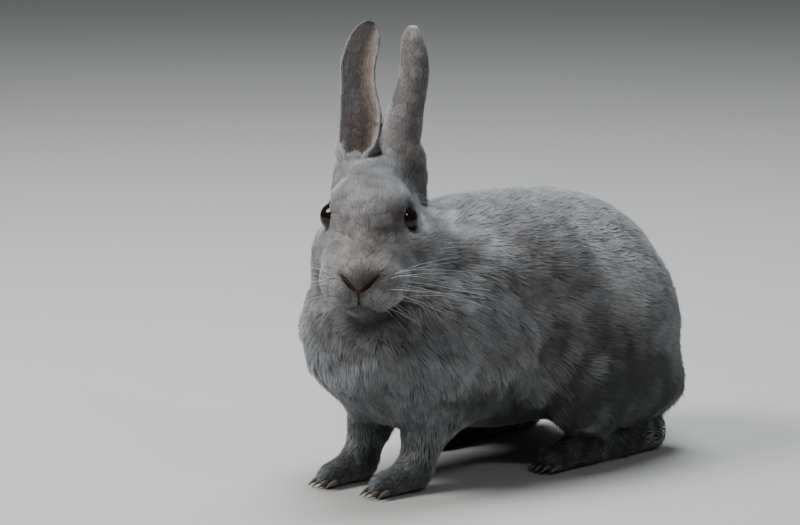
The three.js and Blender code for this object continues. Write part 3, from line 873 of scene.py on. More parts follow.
@dataclass(frozen=True)
class Ear:
    """One ear: a rolled leaf of skin that stands on the head and narrows to a round tip."""

    side: Side
    length: float
    back: float
    out: float
    facing: float
    stray: Stops
    root: Vec = (13, 37, 6)
    sheet: Stops = ((0, 24), (0.15, 48), (0.25, 49), (0.6, 35.6), (0.8, 32), (1, 20))
    curl: Stops = ((0, 150), (0.25, 119), (0.6, 101), (0.8, 94), (1, 72))
    thick: tuple[float, float] = (4.2, 2.6)
    rim: float = 0.45
    hollow: tuple[float, float] = (0.06, 0.14)
    tip: float = 0.8
    bluntness: float = 3.0
    tip_left: float = 0.995
    coat: float = 0.6
    rings: int = 64
    arc_points: int = 28
    foot: float = 0.3
    cup_from: float = 0.09
    cup_to: float = 0.34
    cup_round: float = 0.06
    cup_deep: float = 13.0

    @cached_property
    def frame(self) -> Frame:
        """The ear's own frame: +Z along the ear, and its back towards +Y."""
        root = np.array(self.root) * (self.side.value, 1, 1)
        origin = HEAD_FRAME.outwards(root[None])[0]
        turns = HEAD_FRAME.turns + (
            ("X", -self.back), ("Y", self.out * self.side.value), ("Z", self.facing)
        )
        return Frame(tuple(origin), turns)

    def radius(self, share: Array) -> Array:
        """The radius of the roll, at a share of the length."""
        past = self.tip_left * np.maximum(share - self.tip, 0) / (1 - self.tip)
        around = (1 - past**self.bluntness) ** (1 / self.bluntness)
        return along_stops(share, self.sheet) * around / (2 * self.half_arc(share))

    def half_arc(self, share: Array) -> Array:
        """Half the arc of the roll, in radians."""
        return np.radians(along_stops(share, self.curl))

    def solid(self) -> tuple[Array, Array]:
        """The ear's skin as a closed mesh in the maker's frame."""
        steps = np.linspace(0, 1, self.rings)
        share = np.sin(steps * math.pi / 2) ** 1.15
        radius = self.radius(share)[:, None]
        arc = self.half_arc(share)[:, None]
        across = np.linspace(-1, 1, self.arc_points)[None, :]
        narrower = 1 - 2 * self.coat / (arc * radius)
        turn = arc * across * narrower
        wall = (self.thick[0] + (self.thick[1] - self.thick[0]) * share[:, None]) * (
            1 + (self.rim - 1) * across**2
        )
        wall = np.maximum(wall - 2 * self.coat, 0.75)
        outer_radius = radius - self.coat
        open_share = smoothstep(share, *self.hollow)[:, None]

        def rolled(at_radius: Array) -> Array:
            """The rolled leaf's points at a radius."""
            return np.stack([np.sin(turn) * at_radius, np.cos(turn) * at_radius, 0 * turn], axis=-1)

        outer = rolled(outer_radius)
        inner = rolled(outer_radius - wall)
        flat_x = across * outer_radius * np.sin(arc)
        flat_y = np.cos(arc) * outer_radius + 0 * across
        flat = np.stack([flat_x, flat_y, 0 * turn], axis=-1)
        inner = flat + (inner - flat) * open_share[..., None]
        rings = np.concatenate([inner, outer[:, ::-1]], axis=1)
        rings[..., 0] += along_stops(share, self.stray)[:, None]
        rings[..., 2] += (share * (self.length - self.coat))[:, None]
        points, faces = loft(rings)
        return self.frame.outwards(points), faces

    def cup(self) -> tuple[Array, Array]:
        """What stands open before the ear's foot, as a closed mesh in the maker's frame."""
        share = self.cup_from + (self.cup_to - self.cup_from) * np.linspace(0, 1, 24) ** 1.5
        rise = np.clip((share - self.cup_from) / self.cup_round, 0, 1)
        grown = np.sqrt(1 - (1 - rise) ** 2 + 0.002)[:, None]
        wall = self.thick[0] + (self.thick[1] - self.thick[0]) * share - 2 * self.coat
        radius = (self.radius(share) - self.coat - wall + 0.1)[:, None]
        turn = self.half_arc(share)[:, None] * np.linspace(-1, 1, 20)[None, :]
        x, y = np.sin(turn) * radius, np.cos(turn) * radius
        x = np.concatenate([x[:, :1] * 1.1, x, x[:, -1:] * 1.1], axis=1) * grown
        front = -self.cup_deep * grown**3 + y[:, :1]
        y = np.concatenate([front, y * grown, front], axis=1)
        rings = np.stack([x, y, np.repeat(share[:, None] * self.length, x.shape[1], axis=1)], axis=-1)
        rings[..., 0] += along_stops(share, self.stray)[:, None]
        points, faces = loft(rings[:, ::-1])
        return self.frame.outwards(points), faces

    def places(self, points: Array) -> dict[str, Array]:
        """Where points are on the ear.

        Args:
            points: points in the maker's frame.

        Returns:
            The height up the ear and its share of the length, the place across the leaf from
            -1 to 1, how far inside the leaf's middle each point is, the gap between the point and
            the leaf, the gap to its foot without the hollow, and the way to the tip.
        """
        local = self.frame.inwards(points)
        share = np.clip(local[:, 2] / self.length, 0, 1)
        x = local[:, 0] - along_stops(share, self.stray)
        turn = np.arctan2(x, local[:, 1])
        radius = self.radius(share) - self.coat
        wall = self.thick[0] + (self.thick[1] - self.thick[0]) * share - 2 * self.coat
        off = np.hypot(x, local[:, 1]) - radius
        gap = np.maximum(np.maximum(off, -wall - off), (np.abs(turn) - self.half_arc(share)) * radius)
        taper = np.maximum(local[:, 2] - 9, 0)
        chord = np.cos(self.half_arc(share)) * radius - local[:, 1] + 0.5 * taper
        foot = np.maximum(np.maximum(off + 0.06 * taper, chord), local[:, 2] - self.foot * self.length)
        ahead = along_stops(np.clip(share + 0.02, 0, 1), self.stray)
        slant = (ahead - along_stops(share, self.stray)) / (0.02 * self.length)
        way = unit(self.frame.ways_out(np.stack([slant, 0 * slant, 1 + 0 * slant], axis=-1)))
        return {
            "height": local[:, 2], "share": share, "across": turn / self.half_arc(share),
            "inside": -off - wall / 2, "way": way, "gap": np.maximum(gap, -local[:, 2]),
            "foot": np.maximum(foot, -local[:, 2]),
        }


EARS = (
    Ear(
        Side.LEFT, length=84, back=30, out=7, facing=138,
        stray=((0, 0), (0.35, 3.1), (0.7, 0.5), (1, 7)),
    ),
    Ear(
        Side.RIGHT, length=86, back=30, out=-1.5, facing=3,
        stray=((0, 0), (0.35, 2.7), (0.7, -0.9), (1, 3.4)),
    ),
)


# ---------------------------------------------------------------- eyes


@dataclass(frozen=True)
class Eye:
    """One eye: a wet ball with a bulging cornea, and the lids that hold it."""

    side: Side
    radius: float = 8.2
    axis: Vec = EYE_AXIS
    cornea: float = 0.15
    open_tall: float = 60.0
    open_long: float = 71.0
    open_full: float = 2.7
    lid_thick: float = 0.62
    ball_in: float = 0.12
    lid_wide: float = 1.25
    clearance: float = 0.25

    @cached_property
    def frame(self) -> Frame:
        """The eye's frame: +X out along its axis, and +Z up."""
        outwards = unit(np.array(self.axis) * (self.side.value, 1, 1))
        yaw = math.degrees(math.atan2(outwards[1], outwards[0]))
        rise = math.degrees(math.asin(outwards[2]))
        origin = HEAD_FRAME.outwards(np.array([EYE_IN_HEAD]) * (self.side.value, 1, 1))[0]
        return Frame(tuple(origin), HEAD_FRAME.turns + (("Z", yaw), ("Y", -rise)))

    def opening(self, around: Array) -> Array:
        """The angle of the lid's edge from the eye's axis, in radians, at angles around it.

        Args:
            around: zero towards the eye's +Y, a quarter turn at its top.

        Returns:
            The angle of the edge.
        """
        tall, long = math.radians(self.open_tall), math.radians(self.open_long)
        full = self.open_full
        along_part = np.abs(np.cos(around) / long) ** full
        up_part = np.abs(np.sin(around) / tall) ** full
        return (along_part + up_part) ** (-1 / full)

    def lid(self) -> tuple[Array, Array]:
        """The rim of both lids as a closed ring."""
        around = np.linspace(0, 2 * math.pi, 72, endpoint=False)
        away = self.opening(around)
        radial = np.stack(
            [np.cos(away), np.sin(away) * np.cos(around), np.sin(away) * np.sin(around)], axis=-1
        )
        edge = np.stack(
            [-np.sin(away), np.cos(away) * np.cos(around), np.cos(away) * np.sin(around)], axis=-1
        )
        turns = np.linspace(0, 2 * math.pi, 14, endpoint=False)
        middle = radial * (self.radius + self.lid_thick * 0.75)
        middle = middle + edge * self.lid_wide
        section = (
            radial[:, None] * (np.sin(turns) * self.lid_thick)[None, :, None]
            + edge[:, None] * (np.cos(turns) * self.lid_wide)[None, :, None]
        )
        rings = middle[:, None] + section
        points, _ = loft(rings)
        count = len(turns)
        starts = np.arange(len(around)) * count
        nexts = np.roll(starts, -1)
        i = np.arange(count)
        j = (i + 1) % count
        faces = np.stack(
            [starts[:, None] + j, starts[:, None] + i, nexts[:, None] + i, nexts[:, None] + j], axis=-1
        )
        return self.frame.outwards(points), faces.reshape(-1, 4)

    def ball(self, grow: float = 0.0, bulge: bool = True, steps: int = 48) -> tuple[Array, Array]:
        """The eyeball as a closed mesh.

        Args:
            grow: how much larger than the eye it is.
            bulge: whether the cornea stands out.
            steps: how many rings it has.

        Returns:
            The points and the faces, in the maker's frame.
        """
        away = np.linspace(0.01, math.pi - 0.01, steps)[::-1]
        around = np.linspace(0, 2 * math.pi, steps, endpoint=False)
        radius = self.radius + grow - self.ball_in
        if bulge:
            radius = radius + self.cornea * (smoothstep(-away, -0.95, -0.45) - 1) + self.cornea * 0.6
        radius = radius * np.ones(steps)
        ring = np.stack([np.cos(around), np.sin(around)], axis=-1)
        along = np.cos(away) * radius
        out = np.sin(away) * radius
        rings = np.concatenate(
            [np.repeat(along[:, None, None], steps, axis=1), out[:, None, None] * ring[None]], axis=-1
        )
        points, faces = loft(rings)
        return self.frame.outwards(points), faces

    def covers(self, points: Array, height: float = 3.5, margin: float = -0.04) -> Array:
        """Which points hang over the opening."""
        local = self.frame.inwards(points)
        far = np.linalg.norm(local, axis=1)
        away = np.arccos(np.clip(local[:, 0] / np.maximum(far, 1e-6), -1, 1))
        around = np.arctan2(local[:, 2], local[:, 1])
        return (far < self.radius + height) & (away < self.opening(around) + margin)


EYES = (Eye(Side.LEFT), Eye(Side.RIGHT))


# ---------------------------------------------------------------- the skin


@dataclass(frozen=True)
class Groove:
    """A narrow groove that follows the head's surface."""

    path: tuple[Vec, ...]
    radii: tuple[float, ...]
    sunk: float

    def on(self, side: Side) -> "Groove":
        """The groove taken from the rabbit's left to the side asked for."""
        return replace(self, path=tuple((x * side.value, y, z) for x, y, z in self.path))

    def line(self, distance: Callable[[Array], Array], steps: int = 24) -> Array:
        """The groove's middle line, laid on a surface and sunk into it.

        Args:
            distance: the distance of many points from the surface.
            steps: how many points the line has.

        Returns:
            Points in the maker's frame.
        """
        knots = np.linspace(0, 1, len(self.path))
        share = np.linspace(0, 1, steps)
        columns = [along_stops(share, tuple(zip(knots, column))) for column in zip(*self.path)]
        points = HEAD_FRAME.outwards(np.column_stack(columns))
        return settled(lambda p: distance(p) + self.sunk, points, 6)

    def solid(self, distance: Callable[[Array], Array]) -> tuple[Array, Array]:
        """The groove's cutter as a closed mesh."""
        line = self.line(distance)
        share = np.linspace(0, 1, len(line))
        knots = np.linspace(0, 1, len(self.radii))
        return tube(line, along_stops(share, tuple(zip(knots, self.radii))), 10)


NOSTRIL = Groove(
    ((10.2, -50.8, -9.0), (7.4, -54.4, -10.4), (4.4, -56.8, -12.7), (1.3, -57.7, -15.2)),
    (0.5, 1.05, 1.3, 0.6),
    0.35,
)
LIP_SPLIT = Groove(
    ((0, -57.9, -14.8), (0, -57.6, -18), (0, -56.8, -21), (0, -55.2, -24.6)),
    (0.5, 0.35, 0.35, 0.5),
    0.1,
)
MOUTH = Groove(
    ((0, -55.2, -24.4), (3.3, -54.2, -26.6), (6.4, -52.4, -28.6), (8.6, -47.5, -31), (9.6, -42, -32.6)),
    (0.5, 0.55, 0.5, 0.4, 0.2),
    0.15,
)


@dataclass
class Skin:
    """The rabbit's one skin, inside the outline of its coat by the coat's depth."""

    coat: CoatMap
    ears: tuple[Ear, ...]
    eyes: tuple[Eye, ...]
    body_cell: float = 2.3
    head_cell: float = 1.1
    body_box: tuple[Vec, Vec] = ((-73, -124, -3), (73, 152, 190))
    head_box: tuple[Vec, Vec] = ((-60, -150, 92), (60, -20, 208))
    overlap: float = 0.5
    ear_fillet: float = 4.0
    nape_fillet: float = 8.0
    sole: float = 0.1
    rear: tuple[float, float] = (38, 52)  # where behind the head the nape's fillet comes in
    even_turns: int = 40
    even_pull: float = 0.6
    even_back: float = -0.94  # every other turn pushes back, so that nothing shrinks
    seam_band: float = 3.0
    foot_from: tuple[float, float] = (-6, -1)
    foot_to: tuple[float, float] = (23, 32)
    foot_gap: tuple[float, float] = (3.0, 9.0)
    rim_out: float = 1.25
    rim_past: float = 0.22
    socket_out: float = 0.4
    nape: tuple[Vec, Vec] = ((0, 34, -11), (0, -0.83, 0.56))
    jaw: tuple[Vec, Vec] = ((0, 0, -46), (0, -0.1, 1))
    numbers: dict[str, Array] = field(default_factory=dict)

    def distance(self, points: Array) -> Array:
        """About how far each point is outside the skin."""
        flesh = FLESH.distance(points)
        near = np.abs(flesh + 5) < 12
        depth = np.full(len(points), 5, flesh.dtype)
        depth[near] = self.coat.depth(points[near])
        return np.maximum(flesh + depth, self.sole - points[:, 2])

    def with_feet(self, points: Array) -> Array:
        """About how far each point is outside the skin with the ears' feet."""
        value = self.distance(points)
        rear = smoothstep(HEAD_FRAME.inwards(points)[:, 1], *self.rear).astype(value.dtype)
        for ear in self.ears:
            foot = ear.places(points)["foot"].astype(value.dtype)
            value = fillet(value, foot, self.ear_fillet + self.nape_fillet * rear)
        return value

    def beyond_head(self, points: Array) -> Array:
        """How far each point is past the planes that part the head's net from the body's."""
        local = HEAD_FRAME.inwards(points)
        gone = [
            (np.array(place, local.dtype) - local) @ unit(np.array(way, local.dtype))
            for place, way in (self.nape, self.jaw)
        ]
        return np.maximum(*gone)

    def make(self) -> bpy.types.Object:
        """Builds the skin with its ears, lids, nostrils and mouth."""

        def head_part(points: Array) -> Array:
            """The skin on the head's side of the planes."""
            return np.maximum(self.with_feet(points), self.beyond_head(points))

        def body_part(points: Array) -> Array:
            """The skin on the body's side of the planes, and a little over."""
            return np.maximum(self.with_feet(points), -self.beyond_head(points) - self.overlap)

        pieces = []
        for name, part, box, cell in (
            ("skin", body_part, self.body_box, self.body_cell),
            ("head_net", head_part, self.head_box, self.head_cell),
        ):
            points, faces = net_of(part, *box, cell)
            pieces.append(mesh_object(name, settled(part, points, cell), faces))
            log.info("%s: %d points", name, len(points))
        skin = pieces[0]
        carve(skin, pieces[1], "UNION")
        for ear in self.ears:
            carve(skin, mesh_object("ear_leaf", *ear.solid()), "UNION")
            carve(skin, mesh_object("ear_cup", *ear.cup()), "DIFFERENCE")
        for eye in self.eyes:
            carve(skin, mesh_object("lid", *eye.lid()), "UNION")
            carve(skin, mesh_object("socket", *eye.ball(eye.clearance, False)), "DIFFERENCE")
        for groove in self.grooves():
            carve(skin, mesh_object("groove", *groove.solid(self.distance)), "DIFFERENCE")
        self.soften(skin)
        self.unwrap(skin)
        return skin

    def grooves(self) -> list[Groove]:
        """The nostrils, the split lip and both sides of the mouth."""
        return [LIP_SPLIT, *(groove.on(side) for groove in (NOSTRIL, MOUTH) for side in Side)]

    def soften(self, skin: bpy.types.Object) -> None:
        """Evens out the line where the head's net meets the body's and where the ears stand."""
        mesh = bmesh.new()
        mesh.from_mesh(skin.data)
        bmesh.ops.triangulate(mesh, faces=mesh.faces)
        mesh.to_mesh(skin.data)
        mesh.free()
        points = read(skin.data.vertices, "co", 3).astype(float) / MM
        pull = self.even_pull * (np.abs(self.beyond_head(points)) < self.seam_band)
        for ear in self.ears:
            spot = ear.places(points)
            foot = smoothstep(spot["height"], *self.foot_from)
            foot = foot * (1 - smoothstep(spot["height"], *self.foot_to))
            near = 1 - smoothstep(spot["gap"], *self.foot_gap)
            pull = np.maximum(pull, self.even_pull * foot * near)
        ends = read(skin.data.edges, "vertices", 2)
        here, there = ends.ravel(), ends[:, ::-1].ravel()
        count = np.bincount(here)
        for turn in range(self.even_turns):
            sums = [np.bincount(here, points[there, axis]) for axis in range(3)]
            step = (np.stack(sums, axis=1) / count[:, None] - points) * pull[:, None]
            points += step * (1 if turn % 2 == 0 else self.even_back)
        skin.data.vertices.foreach_set("co", (points * MM).astype(np.float32).ravel())
        skin.data.update()

    def unwrap(self, skin: bpy.types.Object) -> None:
        """Lays the skin's own shape out flat, for its finish and the coat's."""
        for layer in list(skin.data.uv_layers):
            skin.data.uv_layers.remove(layer)
        skin.data.uv_layers.new(name=BAKE_MAP)
        bpy.context.view_layer.objects.active = skin
        skin.select_set(True)
        bpy.ops.object.mode_set(mode="EDIT")
        bpy.ops.mesh.select_all(action="SELECT")
        bpy.ops.uv.smart_project(angle_limit=math.radians(66), island_margin=0.002)
        bpy.ops.object.mode_set(mode="OBJECT")
        skin.select_set(False)

    def measure(self, skin: bpy.types.Object) -> None:
        """Works out the coat's numbers, markings and painted shade and light at every point of the skin.
        """
        mesh = skin.data
        points = read(mesh.vertices, "co", 3) / MM
        normals = read(mesh.vertices, "normal", 3)
        numbers = self.coat.at(points)
        numbers["flesh"], numbers["loose"] = np.zeros((2, len(points)))
        numbers["place"], numbers["normal"] = points, normals
        flesh = FLESH.distance(points)
        for ear in self.ears:
            self.dress_ear(ear, numbers, flesh)
        stray = 0.25 * Wander(16, 3).at(points) + 0.15 * Wander(6, 4).at(points)
        # The tones lay markings, painted shade and painted light over the coat's own numbers.
        for tones, places in ((HEAD_TONES_AND_SHADE, HEAD_FRAME.inwards(points)), (BODY_SHADE_AND_LIGHT_TONES, points)):
            for tone in tones:
                share = tone.share(places, stray)
                for mark in ("brown", "pale", "dark"):
                    numbers[mark] = np.clip(numbers[mark] + share * getattr(tone, mark), 0, 1)
        bare = points[:, 2] < self.sole + 0.3
        for eye in self.eyes:
            local = eye.frame.inwards(points)
            far = np.linalg.norm(local, axis=1)
            away = np.arccos(np.clip(local[:, 0] / far, -1, 1))
            around = np.arctan2(local[:, 2], local[:, 1])
            rim = (far < eye.radius + self.rim_out) & (away < eye.opening(around) + self.rim_past)
            at_eye = rim | (far < eye.radius + self.socket_out)
            bare |= at_eye
            for name in ("flesh", "dark"):
                numbers[name] = np.where(at_eye, 1, numbers[name])
        for groove in self.grooves():
            line = groove.line(self.distance, 40)
            gap = np.sqrt(((points[:, None] - line[None]) ** 2).sum(axis=-1)).min(axis=1)
            reach = max(groove.radii) + 0.15
            bare |= gap < reach
            numbers["flesh"] = np.maximum(numbers["flesh"], 1 - smoothstep(gap, reach, reach + 0.5))
            numbers["dark"] = np.maximum(numbers["dark"], 1 - smoothstep(gap, reach, reach + 0.4))
        numbers["crowd"] = np.where(bare, 0, numbers["crowd"])
        self.numbers = numbers
        for name in MARKS_AND_SHADE:
            layer = mesh.attributes.new(name, "FLOAT", "POINT")
            layer.data.foreach_set("value", numbers[name].astype(np.float32))

    def dress_ear(self, ear: Ear, numbers: dict[str, Array], flesh: Array) -> None:
        """Gives one ear's points the ear's own coat and markings, with painted light inside it.

        Args:
            ear: the ear.
            numbers: the coat's numbers, changed in place.
            flesh: how far each point is outside the rest of the body.
        """
        spot = ear.places(numbers["place"])
        in_cup = (spot["inside"] > 0) & (spot["share"] > ear.cup_from) & (np.abs(spot["across"]) < 1)
        out = np.where(in_cup, 4, flesh)
        share = smoothstep(out, 0.0, 4.0) * (spot["height"] > 0) * (spot["gap"] < 2.5)
        inner = smoothstep(spot["inside"], -0.2, 0.2)
        medial = smoothstep(-spot["across"] * ear.side.value, -0.3, 0.3)
        edge = smoothstep(np.abs(spot["across"]), 0.82, 0.97)
        edge = np.maximum(edge, smoothstep(spot["share"], 0.95, 0.99))
        tip = smoothstep(spot["share"], 0.78, 1.0)
        stripe = inner * medial * (1 - edge) * (1 - tip) * smoothstep(spot["share"], 0.08, 0.16)
        base = smoothstep(-spot["share"], -0.3, -0.14)
        own = {
            "length": 4.2 - 0.6 * inner - 1.2 * edge - 1.8 * tip,
            "depth": 0.62 + 0 * inner,
            "width": 0.16 + 0 * inner,
            "crowd": 5.5 - 1.2 * inner * (1 - edge) - 2.6 * stripe,
            "clump": 0.1 + 0 * inner,
            "flesh": np.clip(stripe + 0.45 * inner * (1 - edge), 0, 1),
        }
        marks_and_light = {
            # Inside the ear, pale is partly its own lighter hair and partly painted light in the shade
            # of the roll.
            "brown": 0.55 + 0.35 * inner - 0.2 * tip * (1 - inner) + 0.3 * stripe * base,
            "pale": 0.6 * edge + inner * (1 - edge) + (0.7 - 0.9 * spot["share"]) * (1 - inner),
            "dark": 0 * inner,
        }
        near = 1 - smoothstep(spot["gap"], 2, 9)
        mark_and_light_share = np.maximum(share, smoothstep(spot["height"], -8, 10) * near * (spot["inside"] < 0))
        flow = smoothstep(spot["height"], -22, 2) * (1 - smoothstep(spot["gap"], 3, 13))
        flow = np.maximum(share, flow)
        loose = smoothstep(spot["height"], -6, 6) * (1 - smoothstep(spot["gap"], 1.5, 6))
        lifted = smoothstep(flesh + numbers["depth"], 0.2, 1.5) * (1 - smoothstep(spot["gap"], 10, 18))
        loose = np.maximum(loose, lifted)
        numbers["loose"] = np.maximum(numbers["loose"], loose)
        numbers["length"] = numbers["length"] * (1 - 0.35 * loose)
        numbers["depth"] = numbers["depth"] * (1 - 0.5 * loose)
        for values, weight in ((own, share), (marks_and_light, mark_and_light_share)):
            for name, value in values.items():
                numbers[name] = numbers[name] + (value - numbers[name]) * weight
        lean = numbers["way"] * (1 - flow[:, None]) + spot["way"] * flow[:, None]
        numbers["way"] = unit(lean)
        on_ear = share > 0.4
        patch = list(Patch).index(Patch.EAR_LEFT if ear.side is Side.LEFT else Patch.EAR_RIGHT)
        numbers["patch"] = np.where(on_ear, patch, numbers["patch"])


BAKE_MAP = "OFBake"
# The numbers that the finishes read from the mesh; dark and pale carry painted shade and painted light
# as well as markings.
MARKS_AND_SHADE = ("brown", "pale", "dark", "flesh")
INDEX_NAMES = ("vertices", "loops")  # what a mesh keeps as whole numbers


def read(items: Any, name: str, width: int) -> Array:
    """One number or vector from each item of a mesh.

    Args:
        items: the mesh's points, loops or triangles.
        name: the name of the value.
        width: how many numbers each item has.

    Returns:
        One row for each item.
    """
    values = np.empty(len(items) * width, np.int32 if name in INDEX_NAMES else np.float32)
    items.foreach_get(name, values)
    return values.reshape(-1, width) if width > 1 else values


# ---------------------------------------------------------------- the coat


@dataclass(frozen=True)
class TuftShape:
    """A tuft's levels from root to tip, each at a share of its length and with a width.

    A level of no width is a point, and any other is a ring of three points.
    """

    levels: tuple[tuple[float, float], ...]

    @cached_property
    def firsts(self) -> list[int]:
        """The index of each level's first point, and after them the number of points."""
        sizes = [3 if wide else 1 for _, wide in self.levels]
        return np.concatenate([[0], np.cumsum(sizes)]).tolist()

    @cached_property
    def faces(self) -> list[list[int]]:
        """The corners of one tuft's faces."""
        faces = [[0, 2, 1]] if self.levels[0][1] else []
        for level, (_, wide) in enumerate(self.levels[:-1]):
            a, b = self.firsts[level : level + 2]
            for i in range(3):
                j = (i + 1) % 3
                ahead = [b + j, b + i] if self.levels[level + 1][1] else [b]
                faces.append(([a + i, a + j] if wide else [a]) + ahead)
        return faces

    @property
    def triangles(self) -> int:
        """How many triangles one tuft comes to."""
        return sum(len(face) - 2 for face in self.faces)


LOCK = TuftShape(((0.0, 0.0), (0.5, 1.0), (1.0, 0.0)))
HAIR = TuftShape(((0.0, 1.0), (1.0, 0.0)))


@dataclass
class Coat:
    """All the tufts over the skin."""

    skin: Skin
    long_from: float = 7.0
    sunk: float = 0.35
    middle_along: float = 0.42
    middle_up: float = 0.62
    middle_level: float = -0.38
    furthest_move: float = 4
    off_floor: float = 0.12
    patch_size: float = 0.003
    clump_apart: float = 6.5
    sway: float = 0.16
    stray: float = 0.16
    guard_share: float = 0.04
    calm: float = 0.7
    most: int = 195_000
    pieces: list[bpy.types.Object] = field(default_factory=list)

    def roots(self, mesh: bpy.types.Mesh, rng: np.random.Generator) -> dict[str, Array]:
        """Spreads the tufts' roots over the skin.

        Args:
            mesh: the skin's mesh.
            rng: the source of random numbers.

        Returns:
            The coat's numbers at each root, with its place, normal and place on the unwrap.
        """
        mesh.calc_loop_triangles()
        corners = read(mesh.loop_triangles, "vertices", 3)
        loops = read(mesh.loop_triangles, "loops", 3)
        uvs = read(mesh.uv_layers[BAKE_MAP].data, "uv", 2)
        numbers = self.skin.numbers
        a, b, c = (numbers["place"][corners[:, i]] for i in range(3))
        area = np.linalg.norm(np.cross(b - a, c - a), axis=1) / 2
        crowd = numbers["crowd"][corners].min(axis=1)
        total = np.cumsum(area * crowd)
        count = int(total[-1])
        picks = np.searchsorted(total, (np.arange(count) + rng.random(count)) / count * total[-1])
        picks = np.minimum(picks, len(corners) - 1)
        u, v = np.sqrt(rng.random(count)), rng.random(count)
        shares = np.column_stack([1 - u, u * (1 - v), u * v])
        roots = {}
        for name, values in numbers.items():
            if name == "patch":
                roots[name] = values[corners[picks, 0]]
                continue
            mixed = values[corners[picks]]
            weights = shares if mixed.ndim == 2 else shares[:, :, None]
            roots[name] = (mixed * weights).sum(axis=1)
        roots["uv"] = (uvs[loops[picks]] * shares[:, :, None]).sum(axis=1)
        roots["normal"] = unit(roots["normal"])
        return roots

    def comb(self, roots: dict[str, Array], rng: np.random.Generator) -> None:
        """Lays each tuft along the coat and works out its middle and its tip.

        Args:
            roots: the roots' numbers, to which the tufts' lines are added.
            rng: the source of random numbers.
        """
        place, normal, way = roots["place"], roots["normal"], roots["way"]
        count = len(place)
        way = unit(way - (way * normal).sum(axis=1, keepdims=True) * normal)
        across = np.cross(way, normal)
        bend = self.sway * Wander(30, 1).at(place) + self.sway * 0.8 * Wander(11, 2).at(place)
        bend = bend + rng.normal(0, self.stray, count)
        way = unit(way + across * bend[:, None])
        guard = rng.random(count) < self.guard_share
        nearest = self.locks(place)
        lock = rng.random(count)[nearest]
        roots["chance"] = 0.6 * rng.random(count) + 0.4 * lock
        length = roots["length"] * rng.uniform(0.72, 1.12, count) * np.where(guard, 1.25, 1)
        low_lock = np.minimum(roots["clump"] * 2.4, 1) * (1 - lock)
        depth = roots["depth"] * (1 - 0.42 * low_lock)
        depth = depth * rng.uniform(0.8, 1.05, count) * np.where(guard, 1.12, 1)
        flat = np.sqrt(np.maximum(length**2 - depth**2, (0.4 * length) ** 2))
        start = place - normal * self.sunk
        middle = place + way * (self.middle_along * flat)[:, None]
        middle = middle + normal * (self.middle_up * depth)[:, None]
        tip = place + way * flat[:, None] + normal * depth[:, None]
        levels = (self.middle_level * roots["depth"], depth - roots["depth"])
        for points, level in zip((middle, tip), levels):
            off = np.clip(FLESH.distance(points) - level, -self.furthest_move, self.furthest_move)
            off = off * (1 - roots["loose"])
            points -= normal * off[:, None]
        pull = roots["clump"][:, None] * (roots["patch"] == roots["patch"][nearest])[:, None]
        close = np.linalg.norm(tip[nearest] - tip, axis=1, keepdims=True) < 2.5 * self.clump_apart
        tip += (tip[nearest] - tip) * pull * close
        middle += (middle[nearest] - middle) * pull * 0.35 * close
        for points in (start, middle, tip):
            points[:, 2] = np.maximum(points[:, 2], self.off_floor)
        roots.update(start=start, middle=middle, tip=tip, combed=way, guard=guard)

    def locks(self, place: Array) -> Array:
        """The one root whose lock each root belongs to, near it."""
        cells = np.floor(place / self.clump_apart).astype(np.int64)
        keys = cells @ np.array([73856093, 19349663, 83492791])
        _, chosen = np.unique(keys, return_index=True)
        tree = KDTree(len(chosen))
        for index in chosen:
            tree.insert(place[index], int(index))
        tree.balance()
        return np.array([tree.find(point)[1] for point in place])

    def grow(self, mesh: bpy.types.Mesh) -> None:
        """Makes every tuft, in pieces that each stay small enough.

        Args:
            mesh: the skin's mesh.
        """
        rng = np.random.default_rng(SEED)
        roots = self.roots(mesh, rng)
        self.comb(roots, rng)
        keep = np.ones(len(roots["place"]), bool)
        for eye in self.skin.eyes:
            for name in ("tip", "middle"):
                keep &= ~eye.covers(roots[name])
        roots = {name: values[keep] for name, values in roots.items()}
        for index, patch in enumerate(Patch):
            here = roots["patch"] == index
            long = (roots["length"] >= self.long_from) & (patch not in FINE) | (patch is Patch.CHEEKS)
            for shape, chosen, word in ((LOCK, here & long, ""), (HAIR, here & ~long, "_fine")):
                picks = np.flatnonzero(chosen)
                if not len(picks):
                    continue
                parts = math.ceil(len(picks) * shape.triangles / self.most)
                for part in range(parts):
                    name = patch.value + word + (f"_{part + 1}" if parts > 1 else "")
                    chosen_roots = {key: values[picks[part::parts]] for key, values in roots.items()}
                    self.pieces.append(self.tufts(name, shape, chosen_roots))

    def tufts(self, name: str, shape: TuftShape, roots: dict[str, Array]) -> bpy.types.Object:
        """One piece of the coat.

        Args:
            name: the piece's name.
            shape: the shape of its tufts.
            roots: the roots of its tufts, with their lines.

        Returns:
            The piece.
        """
        count = len(roots["place"])
        start, middle, tip = roots["start"], roots["middle"], roots["tip"]
        width = roots["width"] * np.where(roots["guard"], 0.7, 1) * (0.85 + 0.3 * roots["chance"])
        side = unit(np.cross(tip - start, roots["normal"]))
        over = unit(np.cross(side, tip - start))
        ring = ((-1, -0.45), (0, 0.9), (1, -0.45))
        columns, normals, alongs = [], [], []
        for share, wide in shape.levels:
            spine = start + (middle - start) * 2 * share if share <= 0.5 else tip
            for across, up in ring if wide else ((0, 0),):
                way = side * across + over * up
                columns.append(spine + way * (width * wide)[:, None])
                normals.append(unit(roots["normal"] * self.calm + way * (1 - self.calm)))
                alongs.append(share)
        points = np.stack(columns, axis=1)
        points[..., 2] = np.maximum(points[..., 2], 0.05)
        per = points.shape[1]
        alongs = np.array(alongs)

